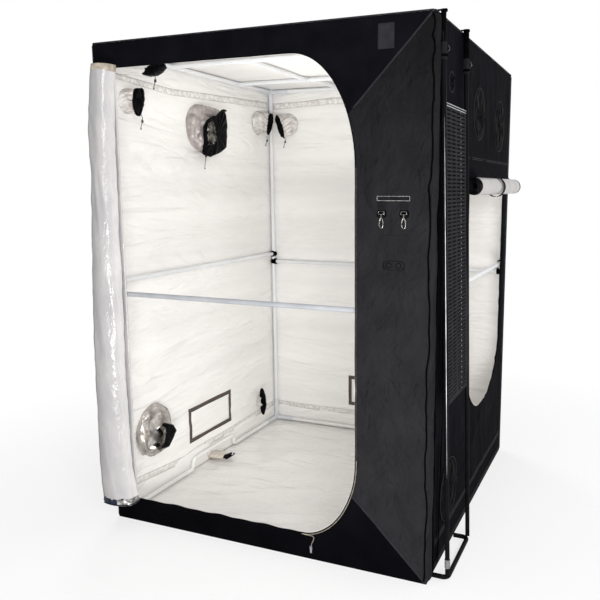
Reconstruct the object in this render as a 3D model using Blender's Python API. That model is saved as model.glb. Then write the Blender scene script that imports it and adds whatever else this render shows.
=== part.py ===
# Walk-in grow tent: fabric cover on a plugged pole frame, two roll-up doors,
# cinched duct sleeves and an equipment rack leaning on the right side.
# Metres, +Z up, front towards -Y. The origin is the middle of the floor's underside.

import math

import bmesh
import bpy
from mathutils import Matrix, Vector

# Cover
tent_width = 1.5
tent_depth = 1.5
tent_height = 2.13
cloth = 0.003
gap = 0.0003
overrun = 0.02
tray_rim = 0.105

# Front doorway, a D with its straight side on the left
left_jamb = 0.13
right_jamb = 0.298
header = 0.107
sill = 0.11
upper_curve_width = 0.26
upper_curve_height = 0.42
lower_curve_width = 0.24
lower_curve_height = 0.35

# Side doorway in the right wall
side_door_front = -0.19
side_door_width = 0.81
side_door_bottom = 0.455
side_door_drop = 0.5
side_door_curve = 0.36

# Pole frame
pole_radius = 0.011
fitting_wall = 0.002
fitting_core = 0.0145
fitting_reach = 0.11
clamp_height = 0.032
tie_space = 0.006
bore_overrun = 1.6
cross_bar_height = 1.06
side_bar_height = 1.108
roof_bar_front_y = -0.245
roof_bar_rear_y = 0.37
tie_x = -0.295
bridge_front = -0.197
bridge_rear = 0.2
bridge_rise = 0.054
bridge_bend = 0.024

# Rolled doors
front_roll_height_shares = (0.0507, 0.1315, 0.2723, 0.5164, 0.7512, 0.8498, 0.9155, 0.9531)
front_roll_half_widths = (0.108, 0.091, 0.081, 0.062, 0.059, 0.062, 0.059, 0.058)
front_roll_half_depths = (0.05, 0.05, 0.049, 0.045, 0.045, 0.045, 0.045, 0.045)
front_roll_places = (-0.680, -0.694, -0.695, -0.696, -0.675, -0.671, -0.656, -0.649)
side_roll_front = -0.285
side_roll_rear = 0.605
side_roll_drop = 0.599
side_roll_radius = 0.0425
side_roll_stand_off = 0.014
side_roll_end_share = 0.86
side_roll_shares = (0, 0.02, 0.33, 0.66, 0.98, 1)
flap_overhang_share = 0.2
side_strap_y = 0.15
side_strap_width = 0.025
side_strap_thickness = 0.0015
strap_clearance = 0.0011
strap_start = math.radians(-70)
strap_end = math.radians(95)

# Duct sleeves and vents
seam_margin = 0.012
sleeve_shares = ((0, 1, 1, 0), (0.4, 0.93, 0.96, 0.05), (0.6, 0.74, 0.84, 0.12),
                  (0.72, 0.88, 1.0, 0.2), (0.9, 0.7, 0.9, 0.24), (1, 0.25, 0.4, 0.2))
outer_small_sleeve = (-0.53, 0.21, 0.05)
outer_middle_sleeve = (-0.01, 0.265, 0.095)
outer_rear_sleeve = (0.475, 0.30, 0.1)
outer_low_sleeve = (-0.46, 0.31, 0.15)
outer_reach = 0.05
ceiling_sleeve = (-0.61, -0.53, 0.06, 0.095)
left_small_sleeve = (-0.558, 0.216, 0.056, 0.072)
left_large_sleeve = (-0.01, 0.29, 0.12, 0.125)
left_corner_sleeve = (0.6, 0.212, 0.068, 0.075)
left_low_sleeve = (-0.476, 0.331, 0.145, 0.09)
rear_corner_sleeve = (-0.615, 0.215, 0.068, 0.08)
low_rear_y = 0.56
low_rear_z = 0.175
low_rear_radius = 0.058
low_rear_reach = 0.07
ceiling_cord = (-0.612, -0.528, 0.0988, 0.065)
left_small_cord = (-0.68, -0.545, 0.2756, 0.064)
left_large_cord = (-0.672, -0.07, 0.379, 0.126)
left_corner_cord = (-0.69, 0.6, 0.2936, 0.055)
rear_corner_cord = (-0.612, 0.685, 0.2954, 0.0607)
cord_sway = 0.004
cord_waves = 1.5
cord_spacing = 0.007
flap_thickness = 0.002
vent_width = 0.396
vent_height = 0.18
vent_bottom = 0.163
vent_left_y = 0.005
vent_rear_x = -0.01
vent_border = 0.016
drain_y = 0.0
drain_height = 0.027
drain_radius = 0.022
drain_reach = 0.125
cord_radius = 0.0015

# Equipment rack
rack_front_y = -0.688
rack_rear_y = -0.35
rack_foot_x = 0.8185
rack_top_x = 0.7655
rack_drop = 0.1
rack_tube_radius = 0.0095
rack_base_inner = 0.757
rack_base_bend = 0.022
board_bottom = 0.70
board_drop = 0.3
board_thickness = 0.002
board_flange = 0.012
slot_rows = 36
slot_columns = 4
slot_height_share = 0.42
slot_width_share = 0.82
board_margin = 0.016
hook_width = 0.016
hook_thickness = 0.003
hook_rise = 0.008
hook_tongue = 0.03
hook_overlap = 0.06
rack_strap_bottom = 0.053
rack_strap_height = 0.035

# Snap hooks on the right jamb
snap_left_x = 0.558
snap_right_x = 0.645
snap_top = 1.442
snap_loop_width = 0.022
snap_loop_height = 0.011
snap_wire = 0.0016
snap_barrel_radius = 0.0038
snap_barrel_height = 0.011
snap_body_wire = 0.0026
snap_eye_radius = 0.009
snap_narrow_share = 0.35
snap_drop = 0.038
snap_loop_bend = 0.0035

# Zip slider at the end of the front zip
slider_x = 0.255
slider_bottom = 0.046
slider_width = 0.011
slider_height = 0.014
slider_thickness = 0.005
tab_width = 0.008
tab_length = 0.03
tab_thickness = 0.0018
pull_share = 0.8

# Facet counts, and the slope above which a direction counts as upright
steep_share = 0.7
pole_sides = 12
small_sides = 8
sleeve_sides = 12
roll_sides = 16
strap_steps = 10
snap_steps = 16

half_width = tent_width / 2
half_depth = tent_depth / 2
roof_under = tent_height - cloth
wall_top = roof_under - gap
bore_radius = pole_radius + gap
fitting_radius = bore_radius + fitting_wall
post_x = half_width - 2 * cloth - 2 * gap - fitting_core
post_y = half_depth - 2 * cloth - 2 * gap - fitting_core
rail_low = cloth + gap + fitting_core
rail_high = roof_under - gap - fitting_core
left_inner = -half_width + cloth
rear_inner = half_depth - cloth
rack_top = tent_height - rack_drop
board_top = tent_height - board_drop
side_door_top = tent_height - side_door_drop
side_roll_height = tent_height - side_roll_drop
rack_lean = math.atan2(rack_foot_x - rack_top_x, rack_top)


def clear_scene():
    for old in list(bpy.data.objects):
        bpy.data.objects.remove(old)


def material(name, colour, roughness, metallic=0.0):
    made = bpy.data.materials.new(name)
    made.use_nodes = True
    shader = made.node_tree.nodes["Principled BSDF"]
    shader.inputs["Base Color"].default_value = (*colour, 1.0)
    shader.inputs["Roughness"].default_value = roughness
    shader.inputs["Metallic"].default_value = metallic
    made.diffuse_color = (*colour, 1.0)
    return made


def mesh_from(bm, name):
    bmesh.ops.remove_doubles(bm, verts=bm.verts, dist=gap / 100)
    bmesh.ops.recalc_face_normals(bm, faces=bm.faces)
    mesh = bpy.data.meshes.new(name)
    bm.to_mesh(mesh)
    bm.free()
    return mesh


def place(name, mesh, finish, parent=None, location=(0, 0, 0), rotation=(0, 0, 0), smooth=True):
    piece = bpy.data.objects.new(name, mesh)
    bpy.context.scene.collection.objects.link(piece)
    if finish is not None:
        mesh.materials.append(finish)
    if smooth:
        mesh.shade_smooth()
        mesh.set_sharp_from_angle(angle=math.radians(35))
    piece.location = location
    piece.rotation_euler = rotation
    piece.parent = parent
    return piece


def empty(name, location, rotation=(0, 0, 0)):
    holder = bpy.data.objects.new(name, None)
    bpy.context.scene.collection.objects.link(holder)
    holder.location = location
    holder.rotation_euler = rotation
    return holder


def cutter(name, mesh):
    guide = place(name, mesh, None, smooth=False)
    guide.hide_render = True
    guide.display_type = "WIRE"
    return guide


def boolean(piece, other, operation):
    step = piece.modifiers.new(operation.lower(), "BOOLEAN")
    step.operation = operation
    step.solver = "EXACT"
    step.object = other


def add_box(bm, low, high):
    corners = [bm.verts.new((x, y, z)) for x in (low[0], high[0]) for y in (low[1], high[1])
               for z in (low[2], high[2])]
    for face in ((0, 1, 3, 2), (4, 6, 7, 5), (0, 4, 5, 1), (2, 3, 7, 6), (0, 2, 6, 4), (1, 5, 7, 3)):
        bm.faces.new([corners[i] for i in face])


def box_mesh(name, low, high):
    bm = bmesh.new()
    add_box(bm, low, high)
    return mesh_from(bm, name)


def ring_of(bm, centre, across, up, count, radius, second=None):
    """A closed ring of points, round or oval, in the plane of two unit directions."""
    other = radius if second is None else second
    points = []
    for step in range(count):
        angle = 2 * math.pi * step / count
        points.append(bm.verts.new(centre + across * math.cos(angle) * radius + up * math.sin(angle) * other))
    return points


def bridge(bm, first, second):
    count = len(first)
    for step in range(count):
        following = (step + 1) % count
        bm.faces.new((first[step], first[following], second[following], second[step]))


def frame_for(direction):
    """Two unit directions square to a third, the same for opposite directions of one axis."""
    steady = Vector((0, 0, 1)) if abs(direction.z) < steep_share else Vector((1, 0, 0))
    across = steady.cross(direction).normalized()
    return across, direction.cross(across).normalized()


def add_tube(bm, start, end, radius, sides=pole_sides):
    start, end = Vector(start), Vector(end)
    across, up = frame_for((end - start).normalized())
    first = ring_of(bm, start, across, up, sides, radius)
    last = ring_of(bm, end, across, up, sides, radius)
    bridge(bm, first, last)
    bm.faces.new(first)
    bm.faces.new(last)


def tube_mesh(name, start, end, radius, sides=pole_sides):
    bm = bmesh.new()
    add_tube(bm, start, end, radius, sides)
    return mesh_from(bm, name)


def rounded(points, bend, steps=4):
    """The route with each inner corner replaced by a short arc of the bend's radius."""
    route = [Vector(points[0])]
    for before, corner, after in zip(points, points[1:], points[2:]):
        before, corner, after = Vector(before), Vector(corner), Vector(after)
        back, ahead = (before - corner).normalized(), (after - corner).normalized()
        half = back.angle(ahead) / 2
        middle = corner + (back + ahead).normalized() * bend / math.sin(half)
        reach = bend / math.tan(half)
        begin, finish = corner + back * reach - middle, corner + ahead * reach - middle
        for step in range(steps + 1):
            route.append(middle + begin.slerp(finish, step / steps).normalized() * bend)
    route.append(Vector(points[-1]))
    return route


def add_sweep(bm, route, radius, sides=small_sides, closed=False):
    """A round tube along a route, with the same cross-section carried from point to point."""
    route = [Vector(point) for point in route]
    count = len(route)
    rings = []
    across = None
    for index, point in enumerate(route):
        ahead = route[(index + 1) % count] if closed or index < count - 1 else point
        behind = route[index - 1] if closed or index > 0 else point
        direction = (ahead - behind).normalized()
        if across is None:
            across, up = frame_for(direction)
        across = (across - direction * across.dot(direction)).normalized()
        up = direction.cross(across).normalized()
        rings.append(ring_of(bm, point, across, up, sides, radius))
    for first, second in zip(rings, rings[1:]):
        bridge(bm, first, second)
    if closed:
        bridge(bm, rings[-1], rings[0])
    else:
        bm.faces.new(rings[0])
        bm.faces.new(rings[-1])


def sweep_mesh(name, route, radius, sides=small_sides, closed=False):
    bm = bmesh.new()
    add_sweep(bm, route, radius, sides, closed)
    return mesh_from(bm, name)


def prism_mesh(name, outline, low, high, axis):
    """An outline of (first, second) points, in the two axes other than axis, given a depth."""
    bm = bmesh.new()

    def lift(point, depth):
        values = list(point)
        values.insert(axis, depth)
        return bm.verts.new(values)

    near = [lift(point, low) for point in outline]
    far = [lift(point, high) for point in outline]
    bridge(bm, near, far)
    bm.faces.new(near)
    bm.faces.new(far)
    return mesh_from(bm, name)


def quarter(centre, width, height, start_turns, steps=8):
    """A quarter of an ellipse, from start_turns of a full turn, anticlockwise."""
    points = []
    for step in range(steps + 1):
        angle = 2 * math.pi * (start_turns + step / steps / 4)
        points.append((centre[0] + width * math.cos(angle), centre[1] + height * math.sin(angle)))
    return points


def add_loft(bm, rings, sides):
    """Rings of (centre, across, up, radius, second radius) joined into one closed skin."""
    made = [ring_of(bm, Vector(centre), Vector(across), Vector(up), sides, radius, second)
            for centre, across, up, radius, second in rings]
    for first, second in zip(made, made[1:]):
        bridge(bm, first, second)
    bm.faces.new(made[0])
    bm.faces.new(made[-1])


def sleeve_rings(centre, normal, radius, reach, start=gap):
    """A cinched duct sleeve: round at the wall, gathered and drooping at its end."""
    normal = Vector(normal)
    across, up = frame_for(normal)
    if abs(normal.z) > steep_share:
        across, up = Vector((1, 0, 0)), Vector((0, 1, 0))
    rings = []
    for out, wide, tall, droop in sleeve_shares:
        drop = Vector((0, 0, -radius * droop)) if abs(normal.z) < steep_share else Vector((0, 0, 0))
        place_along = normal * (start + (reach - start) * out)
        rings.append((Vector(centre) + place_along + drop, across, up, radius * wide, radius * tall))
    return rings


def sleeve(name, centre, normal, radius, reach, finish):
    bm = bmesh.new()
    add_loft(bm, sleeve_rings((0, 0, 0), normal, radius, reach), sleeve_sides)
    return place(name, mesh_from(bm, name), finish, location=centre)


def hanging_cord(name, start, length, sway, finish):
    """A free draw cord, hanging from its sleeve in a slack wave."""
    curve = bpy.data.curves.new(name, "CURVE")
    curve.dimensions = "3D"
    curve.bevel_depth = cord_radius
    curve.bevel_resolution = 2
    curve.use_fill_caps = True
    count = round(length / cord_spacing) + 1
    spline = curve.splines.new("POLY")
    spline.points.add(count - 1)
    for index, point in enumerate(spline.points):
        along = index / (count - 1)
        wave = sway * math.sin(math.pi * cord_waves * along)
        point.co = (wave, wave / 2, -length * along, 1)
    cord = bpy.data.objects.new(name, curve)
    bpy.context.scene.collection.objects.link(cord)
    curve.materials.append(finish)
    cord.location = start
    return cord


def corner_fitting(name, turn_x, turn_y, turn_z, finish):
    """A three-way corner: a small block with three open sleeves for the pole ends."""
    bm = bmesh.new()
    s = fitting_core
    signs = (turn_x, turn_y, turn_z)
    corners = {(a, b, c): bm.verts.new((a * s, b * s, c * s))
               for a in (-1, 1) for b in (-1, 1) for c in (-1, 1)}
    for axis in range(3):
        first, second = (axis + 1) % 3, (axis + 2) % 3
        direction = Vector((0, 0, 0))
        direction[axis] = signs[axis]
        across, up = Vector((0, 0, 0)), Vector((0, 0, 0))
        across[first], up[second] = 1, 1
        turns = ((1, 1), (-1, 1), (-1, -1), (1, -1))

        def block_corner(side, turn):
            key = [0, 0, 0]
            key[axis], key[first], key[second] = side, turn[0], turn[1]
            return corners[tuple(key)]

        bm.faces.new([block_corner(-signs[axis], turn) for turn in turns])
        near = ring_of(bm, direction * s, across, up, pole_sides, fitting_radius)
        quarter_count = pole_sides // 4
        for index, turn in enumerate(turns):
            arc = [near[(index * quarter_count + step) % pole_sides] for step in range(quarter_count + 1)]
            corner = block_corner(signs[axis], turn)
            bm.faces.new([corner] + arc[::-1])
            following = block_corner(signs[axis], turns[(index + 1) % 4])
            bm.faces.new((corner, arc[-1], following))
        far = ring_of(bm, direction * (s + fitting_reach), across, up, pole_sides, fitting_radius)
        mouth = ring_of(bm, direction * (s + fitting_reach), across, up, pole_sides, bore_radius)
        floor = ring_of(bm, direction * s, across, up, pole_sides, bore_radius)
        bridge(bm, near, far)
        bridge(bm, far, mouth)
        bridge(bm, mouth, floor)
        bm.faces.new(floor)
    height = rail_high if turn_z < 0 else rail_low
    return place(name, mesh_from(bm, name), finish, location=(-turn_x * post_x, -turn_y * post_y, height))


def clamped_bar(name, start, end, clamp_axis, finish):
    """A straight bar whose end clamps close round the two poles it spans."""
    start, end = Vector(start), Vector(end)
    middle = (start + end) / 2
    bar = place(name, tube_mesh(name, start - middle, end - middle, pole_radius), finish, location=middle)
    half = Vector(clamp_axis) * clamp_height / 2
    guides = (("shell", 1, fitting_radius, "UNION"), ("bore", bore_overrun, bore_radius, "DIFFERENCE"))
    for kind, length, radius, operation in guides:
        for label, point in (("a", start - middle), ("b", end - middle)):
            guide_name = f"{name}_{kind}_{label}"
            guide = cutter(guide_name, tube_mesh(guide_name, point - half * length, point + half * length, radius))
            guide.parent = bar
            boolean(bar, guide, operation)
    return bar


clear_scene()

black_cloth = material("black_oxford", (0.012, 0.012, 0.013), 0.72)
white_lining = material("white_lining", (0.80, 0.80, 0.79), 0.42)
white_paint = material("white_pole", (0.82, 0.83, 0.84), 0.4)
grey_fitting = material("grey_fitting", (0.62, 0.64, 0.66), 0.42)
silver_sleeve = material("silver_sleeve", (0.52, 0.53, 0.54), 0.36)
black_sleeve = material("black_sleeve", (0.014, 0.014, 0.015), 0.5)
black_paint = material("black_rack", (0.014, 0.014, 0.015), 0.38)
black_cord = material("black_cord", (0.015, 0.015, 0.015), 0.8)
grey_strap = material("grey_strap", (0.30, 0.30, 0.31), 0.85)
dark_strap = material("black_webbing", (0.016, 0.016, 0.017), 0.8)
antique_metal = material("antique_nickel", (0.30, 0.27, 0.22), 0.3, 1.0)
ferrule_grey = material("hook_steel", (0.10, 0.10, 0.105), 0.45, 0.6)

# Cover

doorway_left = -half_width + left_jamb
doorway_right = half_width - right_jamb
doorway_top = tent_height - header
upper = quarter((doorway_right - upper_curve_width, doorway_top - upper_curve_height),
                upper_curve_width, upper_curve_height, 0)
lower = quarter((doorway_right - lower_curve_width, sill + lower_curve_height),
                lower_curve_width, lower_curve_height, 0.75)
doorway = [(doorway_left, sill)] + lower + upper + [(doorway_left, doorway_top)]

side_front, side_rear = side_door_front, side_door_front + side_door_width
side_curve = side_door_curve
side_doorway = (quarter((side_front + side_curve, side_door_bottom + side_curve), side_curve, side_curve, 0.5)
                + quarter((side_rear - side_curve, side_door_bottom + side_curve), side_curve, side_curve, 0.75)
                + [(side_rear, side_door_top), (side_front, side_door_top)])

roof_panel = place("roof_panel", box_mesh("roof_panel", (-half_width, -half_depth, 0),
                                          (half_width, half_depth, cloth)),
                   black_cloth, location=(0, 0, roof_under))

front_panel = place("front_panel", box_mesh("front_panel", (-half_width, -cloth, 0), (half_width, 0, wall_top)),
                    black_cloth, location=(0, -half_depth + cloth, 0))
boolean(front_panel, cutter("front_doorway_cut", prism_mesh(
    "front_doorway_cut", doorway, -half_depth - overrun, -half_depth + overrun, 1)), "DIFFERENCE")

rear_wall = place("rear_wall", box_mesh("rear_wall", (-half_width, 0, 0), (half_width, cloth, wall_top)),
                  white_lining, location=(0, rear_inner, 0))

side_span = rear_inner - gap
left_wall = place("left_wall", box_mesh("left_wall", (0, -side_span, 0), (cloth, side_span, wall_top)),
                  white_lining, location=(-half_width, 0, 0))
right_wall = place("right_wall", box_mesh("right_wall", (-cloth, -side_span, 0), (0, side_span, wall_top)),
                   black_cloth, location=(half_width, 0, 0))
boolean(right_wall, cutter("side_doorway_cut", prism_mesh(
    "side_doorway_cut", side_doorway, half_width - overrun, half_width + overrun, 0)), "DIFFERENCE")

outer_places = [(y, tent_height - drop, radius)
                for y, drop, radius in (outer_small_sleeve, outer_middle_sleeve, outer_rear_sleeve)]
outer_places.append(outer_low_sleeve)
for index, (y, z, radius) in enumerate(outer_places):
    bm = bmesh.new()
    add_loft(bm, sleeve_rings((half_width, y, z), (1, 0, 0), radius, outer_reach, start=-cloth / 2), sleeve_sides)
    name = f"outer_sleeve_{index}"
    boolean(right_wall, cutter(name, mesh_from(bm, name)), "UNION")

bm = bmesh.new()
add_loft(bm, sleeve_rings((left_inner, low_rear_y, low_rear_z), (1, 0, 0), low_rear_radius, low_rear_reach,
                          start=-cloth / 2), sleeve_sides)
boolean(left_wall, cutter("low_rear_sleeve", mesh_from(bm, "low_rear_sleeve")), "UNION")
drain_start = left_inner - cloth / 2
boolean(left_wall, cutter("drain_tube", tube_mesh("drain_tube", (drain_start, drain_y, drain_height),
                                                  (left_inner + drain_reach, drain_y, drain_height),
                                                  drain_radius)), "UNION")

for name, wall, low, high in (
        ("left_vent_cut", left_wall,
         (-half_width - overrun, vent_left_y - vent_width / 2 + 2 * vent_border, vent_bottom + 2 * vent_border),
         (left_inner + overrun, vent_left_y + vent_width / 2 - 2 * vent_border,
          vent_bottom + vent_height - 2 * vent_border)),
        ("rear_vent_cut", rear_wall,
         (vent_rear_x - vent_width / 2 + 2 * vent_border, rear_inner - overrun, vent_bottom + 2 * vent_border),
         (vent_rear_x + vent_width / 2 - 2 * vent_border, half_depth + overrun,
          vent_bottom + vent_height - 2 * vent_border))):
    boolean(wall, cutter(name, box_mesh(name, low, high)), "DIFFERENCE")

tray_x = half_width - cloth - gap
tray_y = half_depth - cloth - gap
bm = bmesh.new()
outer_low = [bm.verts.new((a * tray_x, b * tray_y, 0)) for a, b in ((-1, -1), (1, -1), (1, 1), (-1, 1))]
outer_high = [bm.verts.new((a * tray_x, b * tray_y, tray_rim)) for a, b in ((-1, -1), (1, -1), (1, 1), (-1, 1))]
inner_x, inner_y = tray_x - cloth, tray_y - cloth
inner_high = [bm.verts.new((a * inner_x, b * inner_y, tray_rim)) for a, b in ((-1, -1), (1, -1), (1, 1), (-1, 1))]
inner_low = [bm.verts.new((a * inner_x, b * inner_y, cloth)) for a, b in ((-1, -1), (1, -1), (1, 1), (-1, 1))]
bm.faces.new(outer_low)
bridge(bm, outer_low, outer_high)
bridge(bm, outer_high, inner_high)
bridge(bm, inner_high, inner_low)
bm.faces.new(inner_low)
floor_tray = place("floor_tray", mesh_from(bm, "floor_tray"), white_lining)
boolean(floor_tray, cutter("tray_drain_cut", tube_mesh(
    "tray_drain_cut", (-half_width, drain_y, drain_height), (-half_width + overrun, drain_y, drain_height),
    drain_radius + gap)), "DIFFERENCE")

# Vent flaps, hinged along their lower edges

flap_width = vent_width - 2 * vent_border
flap_height = vent_height - 2 * vent_border
flap_bottom = vent_bottom + vent_border
left_flap_hinge = empty("left_vent_hinge", (left_inner + gap + flap_thickness / 2, vent_left_y, flap_bottom))
rear_flap_hinge = empty("rear_vent_hinge", (vent_rear_x, rear_inner - gap - flap_thickness / 2, flap_bottom))
place("vent_flap_left", box_mesh("vent_flap_left", (-flap_thickness / 2, -flap_width / 2, 0),
                                 (flap_thickness / 2, flap_width / 2, flap_height)),
      white_lining, parent=left_flap_hinge)
place("vent_flap_rear", box_mesh("vent_flap_rear", (-flap_width / 2, -flap_thickness / 2, 0),
                                 (flap_width / 2, flap_thickness / 2, flap_height)),
      white_lining, parent=rear_flap_hinge)

# Pole frame

pole_start = fitting_core + gap
post_length = rail_high - rail_low - 2 * pole_start
for side, turn_x in (("left", -1), ("right", 1)):
    for end, turn_y in (("front", -1), ("rear", 1)):
        place(f"post_{end}_{side}", tube_mesh(f"post_{end}_{side}", (0, 0, 0), (0, 0, post_length), pole_radius),
              white_paint, location=(turn_x * post_x, turn_y * post_y, rail_low + pole_start))
        corner_fitting(f"bottom_corner_{end}_{side}", -turn_x, -turn_y, 1, grey_fitting)
        corner_fitting(f"top_corner_{end}_{side}", -turn_x, -turn_y, -1, grey_fitting)

half_rail_x = post_x - pole_start
half_rail_y = post_y - pole_start
for level, height in (("top", rail_high), ("bottom", rail_low)):
    for side, turn in (("front", -1), ("rear", 1)):
        place(f"{level}_rail_{side}", tube_mesh(f"{level}_rail_{side}", (-half_rail_x, 0, 0), (half_rail_x, 0, 0),
                                                pole_radius),
              white_paint, location=(0, turn * post_y, height))
    for side, turn in (("left", -1), ("right", 1)):
        name = f"{level}_rail_{side}"
        if name == "bottom_rail_left":
            route = rounded([(0, -half_rail_y, 0), (0, bridge_front, 0), (0, bridge_front, bridge_rise),
                             (0, bridge_rear, bridge_rise), (0, bridge_rear, 0), (0, half_rail_y, 0)],
                            bridge_bend, 4)
            rail = sweep_mesh(name, route, pole_radius, pole_sides)
        else:
            rail = tube_mesh(name, (0, -half_rail_y, 0), (0, half_rail_y, 0), pole_radius)
        place(name, rail, white_paint, location=(turn * post_x, 0, height))

clamped_bar("mid_bar_front", (-post_x, -post_y, cross_bar_height), (post_x, -post_y, cross_bar_height),
            (0, 0, 1), white_paint)
clamped_bar("mid_bar_rear", (-post_x, post_y, cross_bar_height), (post_x, post_y, cross_bar_height),
            (0, 0, 1), white_paint)
clamped_bar("mid_bar_left", (-post_x, -post_y, side_bar_height), (-post_x, post_y, side_bar_height),
            (0, 0, 1), white_paint)
clamped_bar("mid_bar_right", (post_x, -post_y, side_bar_height), (post_x, post_y, side_bar_height),
            (0, 0, 1), white_paint)
clamped_bar("roof_bar_front", (-post_x, roof_bar_front_y, rail_high), (post_x, roof_bar_front_y, rail_high),
            (0, 1, 0), white_paint)
clamped_bar("roof_bar_rear", (-post_x, roof_bar_rear_y, rail_high), (post_x, roof_bar_rear_y, rail_high),
            (0, 1, 0), white_paint)
clamped_bar("roof_tie", (tie_x, roof_bar_front_y, rail_high), (tie_x, roof_bar_rear_y, rail_high),
            (1, 0, 0), white_paint)
rear_tie_x = tie_x + clamp_height + tie_space
clamped_bar("roof_tie_rear", (rear_tie_x, roof_bar_rear_y, rail_high), (rear_tie_x, post_y, rail_high),
            (1, 0, 0), white_paint)

# Rolled front door beside the left jamb

bm = bmesh.new()
rings = []
for share, wide, deep, x in zip(front_roll_height_shares, front_roll_half_widths, front_roll_half_depths,
                                 front_roll_places):
    rings.append(((x, -half_depth - gap - deep, tent_height * share), (1, 0, 0), (0, 1, 0), wide, deep))
add_loft(bm, rings, roll_sides)
place("front_door_roll", mesh_from(bm, "front_door_roll"), white_lining)

# Rolled side door with the flap it hangs from, and its strap

bm = bmesh.new()
roll_near = Vector((half_width + gap + side_roll_radius, side_roll_front, side_roll_height))
roll_far = Vector((half_width + gap + side_roll_radius + side_roll_stand_off, side_roll_rear, side_roll_height))
rings = []
for share in side_roll_shares:
    radius = side_roll_radius * (side_roll_end_share if share in (0, 1) else 1)
    rings.append((roll_near.lerp(roll_far, share), (1, 0, 0), (0, 0, 1), radius, radius))
add_loft(bm, rings, roll_sides)
side_roll = place("side_door_roll", mesh_from(bm, "side_door_roll"), white_lining)
flap_low_x = roll_far.x + side_roll_radius * flap_overhang_share
bm = bmesh.new()
flap_points = ((half_width + gap, side_door_top + seam_margin), (half_width + gap + cloth, side_door_top + seam_margin),
               (flap_low_x + cloth, side_roll_height), (flap_low_x, side_roll_height))
near_flap = [bm.verts.new((x if index < 2 else x - side_roll_stand_off, side_front, z))
             for index, (x, z) in enumerate(flap_points)]
far_flap = [bm.verts.new((x, side_rear, z)) for x, z in flap_points]
bridge(bm, near_flap, far_flap)
bm.faces.new(near_flap)
bm.faces.new(far_flap)
boolean(side_roll, cutter("side_flap", mesh_from(bm, "side_flap")), "UNION")

strap_share = (side_strap_y - side_roll_front) / (side_roll_rear - side_roll_front)
strap_centre = roll_near.lerp(roll_far, strap_share)
strap_bore = side_roll_radius + strap_clearance
bm = bmesh.new()
loops = []
for depth, radius in ((-side_strap_width / 2, strap_bore), (side_strap_width / 2, strap_bore),
                      (side_strap_width / 2, strap_bore + side_strap_thickness),
                      (-side_strap_width / 2, strap_bore + side_strap_thickness)):
    loops.append((depth, radius))


def strap_arc(depth, radius):
    points = []
    for step in range(strap_steps + 1):
        angle = strap_start + (strap_end - strap_start) * step / strap_steps
        points.append(bm.verts.new((radius * math.sin(angle), depth, -radius * math.cos(angle))))
    return points


arcs = [strap_arc(depth, radius) for depth, radius in loops]
for first, second in zip(arcs, arcs[1:] + arcs[:1]):
    for step in range(strap_steps):
        bm.faces.new((first[step], first[step + 1], second[step + 1], second[step]))
bm.faces.new([arc[0] for arc in arcs])
bm.faces.new([arc[-1] for arc in arcs])
place("side_roll_strap", mesh_from(bm, "side_roll_strap"), dark_strap, location=strap_centre)

# Inner duct sleeves and their draw cords

for name, (y, drop, radius, reach) in (("sleeve_left_small", left_small_sleeve),
                                       ("sleeve_left_large", left_large_sleeve),
                                       ("sleeve_left_corner", left_corner_sleeve)):
    sleeve(name, (left_inner, y, tent_height - drop), (1, 0, 0), radius, reach, silver_sleeve)
y, z, radius, reach = left_low_sleeve
sleeve("sleeve_left_low", (left_inner, y, z), (1, 0, 0), radius, reach, silver_sleeve)
x, drop, radius, reach = rear_corner_sleeve
sleeve("sleeve_rear_corner", (x, rear_inner, tent_height - drop), (0, -1, 0), radius, reach, silver_sleeve)
x, y, radius, reach = ceiling_sleeve
sleeve("sleeve_ceiling", (x, y, roof_under), (0, 0, -1), radius, reach, black_sleeve)
for name, (x, y, drop, length) in (("cord_ceiling", ceiling_cord), ("cord_left_small", left_small_cord),
                                   ("cord_left_large", left_large_cord), ("cord_left_corner", left_corner_cord),
                                   ("cord_rear_corner", rear_corner_cord)):
    hanging_cord(name, (x, y, tent_height - drop), length, cord_sway, black_cord)

# Equipment rack on the right

rack_frame = empty("rack_frame", (rack_foot_x, 0, 0), (0, -rack_lean, 0))
rack_foot = 2 * rack_tube_radius + gap + rack_tube_radius * math.sin(rack_lean)
for name, y in (("rack_front_upright", rack_front_y), ("rack_rear_upright", rack_rear_y)):
    place(name, tube_mesh(name, (0, 0, rack_foot), (0, 0, rack_top), rack_tube_radius), black_paint,
          parent=rack_frame, location=(0, y, 0))

base_route = rounded([(rack_base_inner, rack_front_y, 0), (rack_foot_x, rack_front_y, 0),
                      (rack_foot_x, rack_rear_y, 0), (rack_base_inner, rack_rear_y, 0)], rack_base_bend)
place("rack_base", sweep_mesh("rack_base", base_route, rack_tube_radius, pole_sides), black_paint,
      location=(0, 0, rack_tube_radius))

board_low_y = rack_front_y + rack_tube_radius + gap
board_high_y = rack_rear_y - rack_tube_radius - gap
board_height = board_top - board_bottom
column_pitch = (board_high_y - board_low_y - 2 * board_margin) / slot_columns
row_pitch = (board_height - 2 * board_margin) / slot_rows
slot_width = column_pitch * slot_width_share
slot_height = row_pitch * slot_height_share
lines_y = [board_low_y]
for column in range(slot_columns):
    middle = board_low_y + board_margin + column_pitch * (column + 1 / 2)
    lines_y += [middle - slot_width / 2, middle + slot_width / 2]
lines_y.append(board_high_y)
lines_z = [board_bottom]
for row in range(slot_rows):
    middle = board_bottom + board_margin + row_pitch * (row + 1 / 2)
    lines_z += [middle - slot_height / 2, middle + slot_height / 2]
lines_z.append(board_top)
bm = bmesh.new()
outer = [[bm.verts.new((board_thickness / 2, y, z)) for z in lines_z] for y in lines_y]
inner = [[bm.verts.new((-board_thickness / 2, y, z)) for z in lines_z] for y in lines_y]


def solid_cell(i, j):
    inside = 0 <= i < len(lines_y) - 1 and 0 <= j < len(lines_z) - 1
    return inside and not (i % 2 and j % 2)


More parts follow.
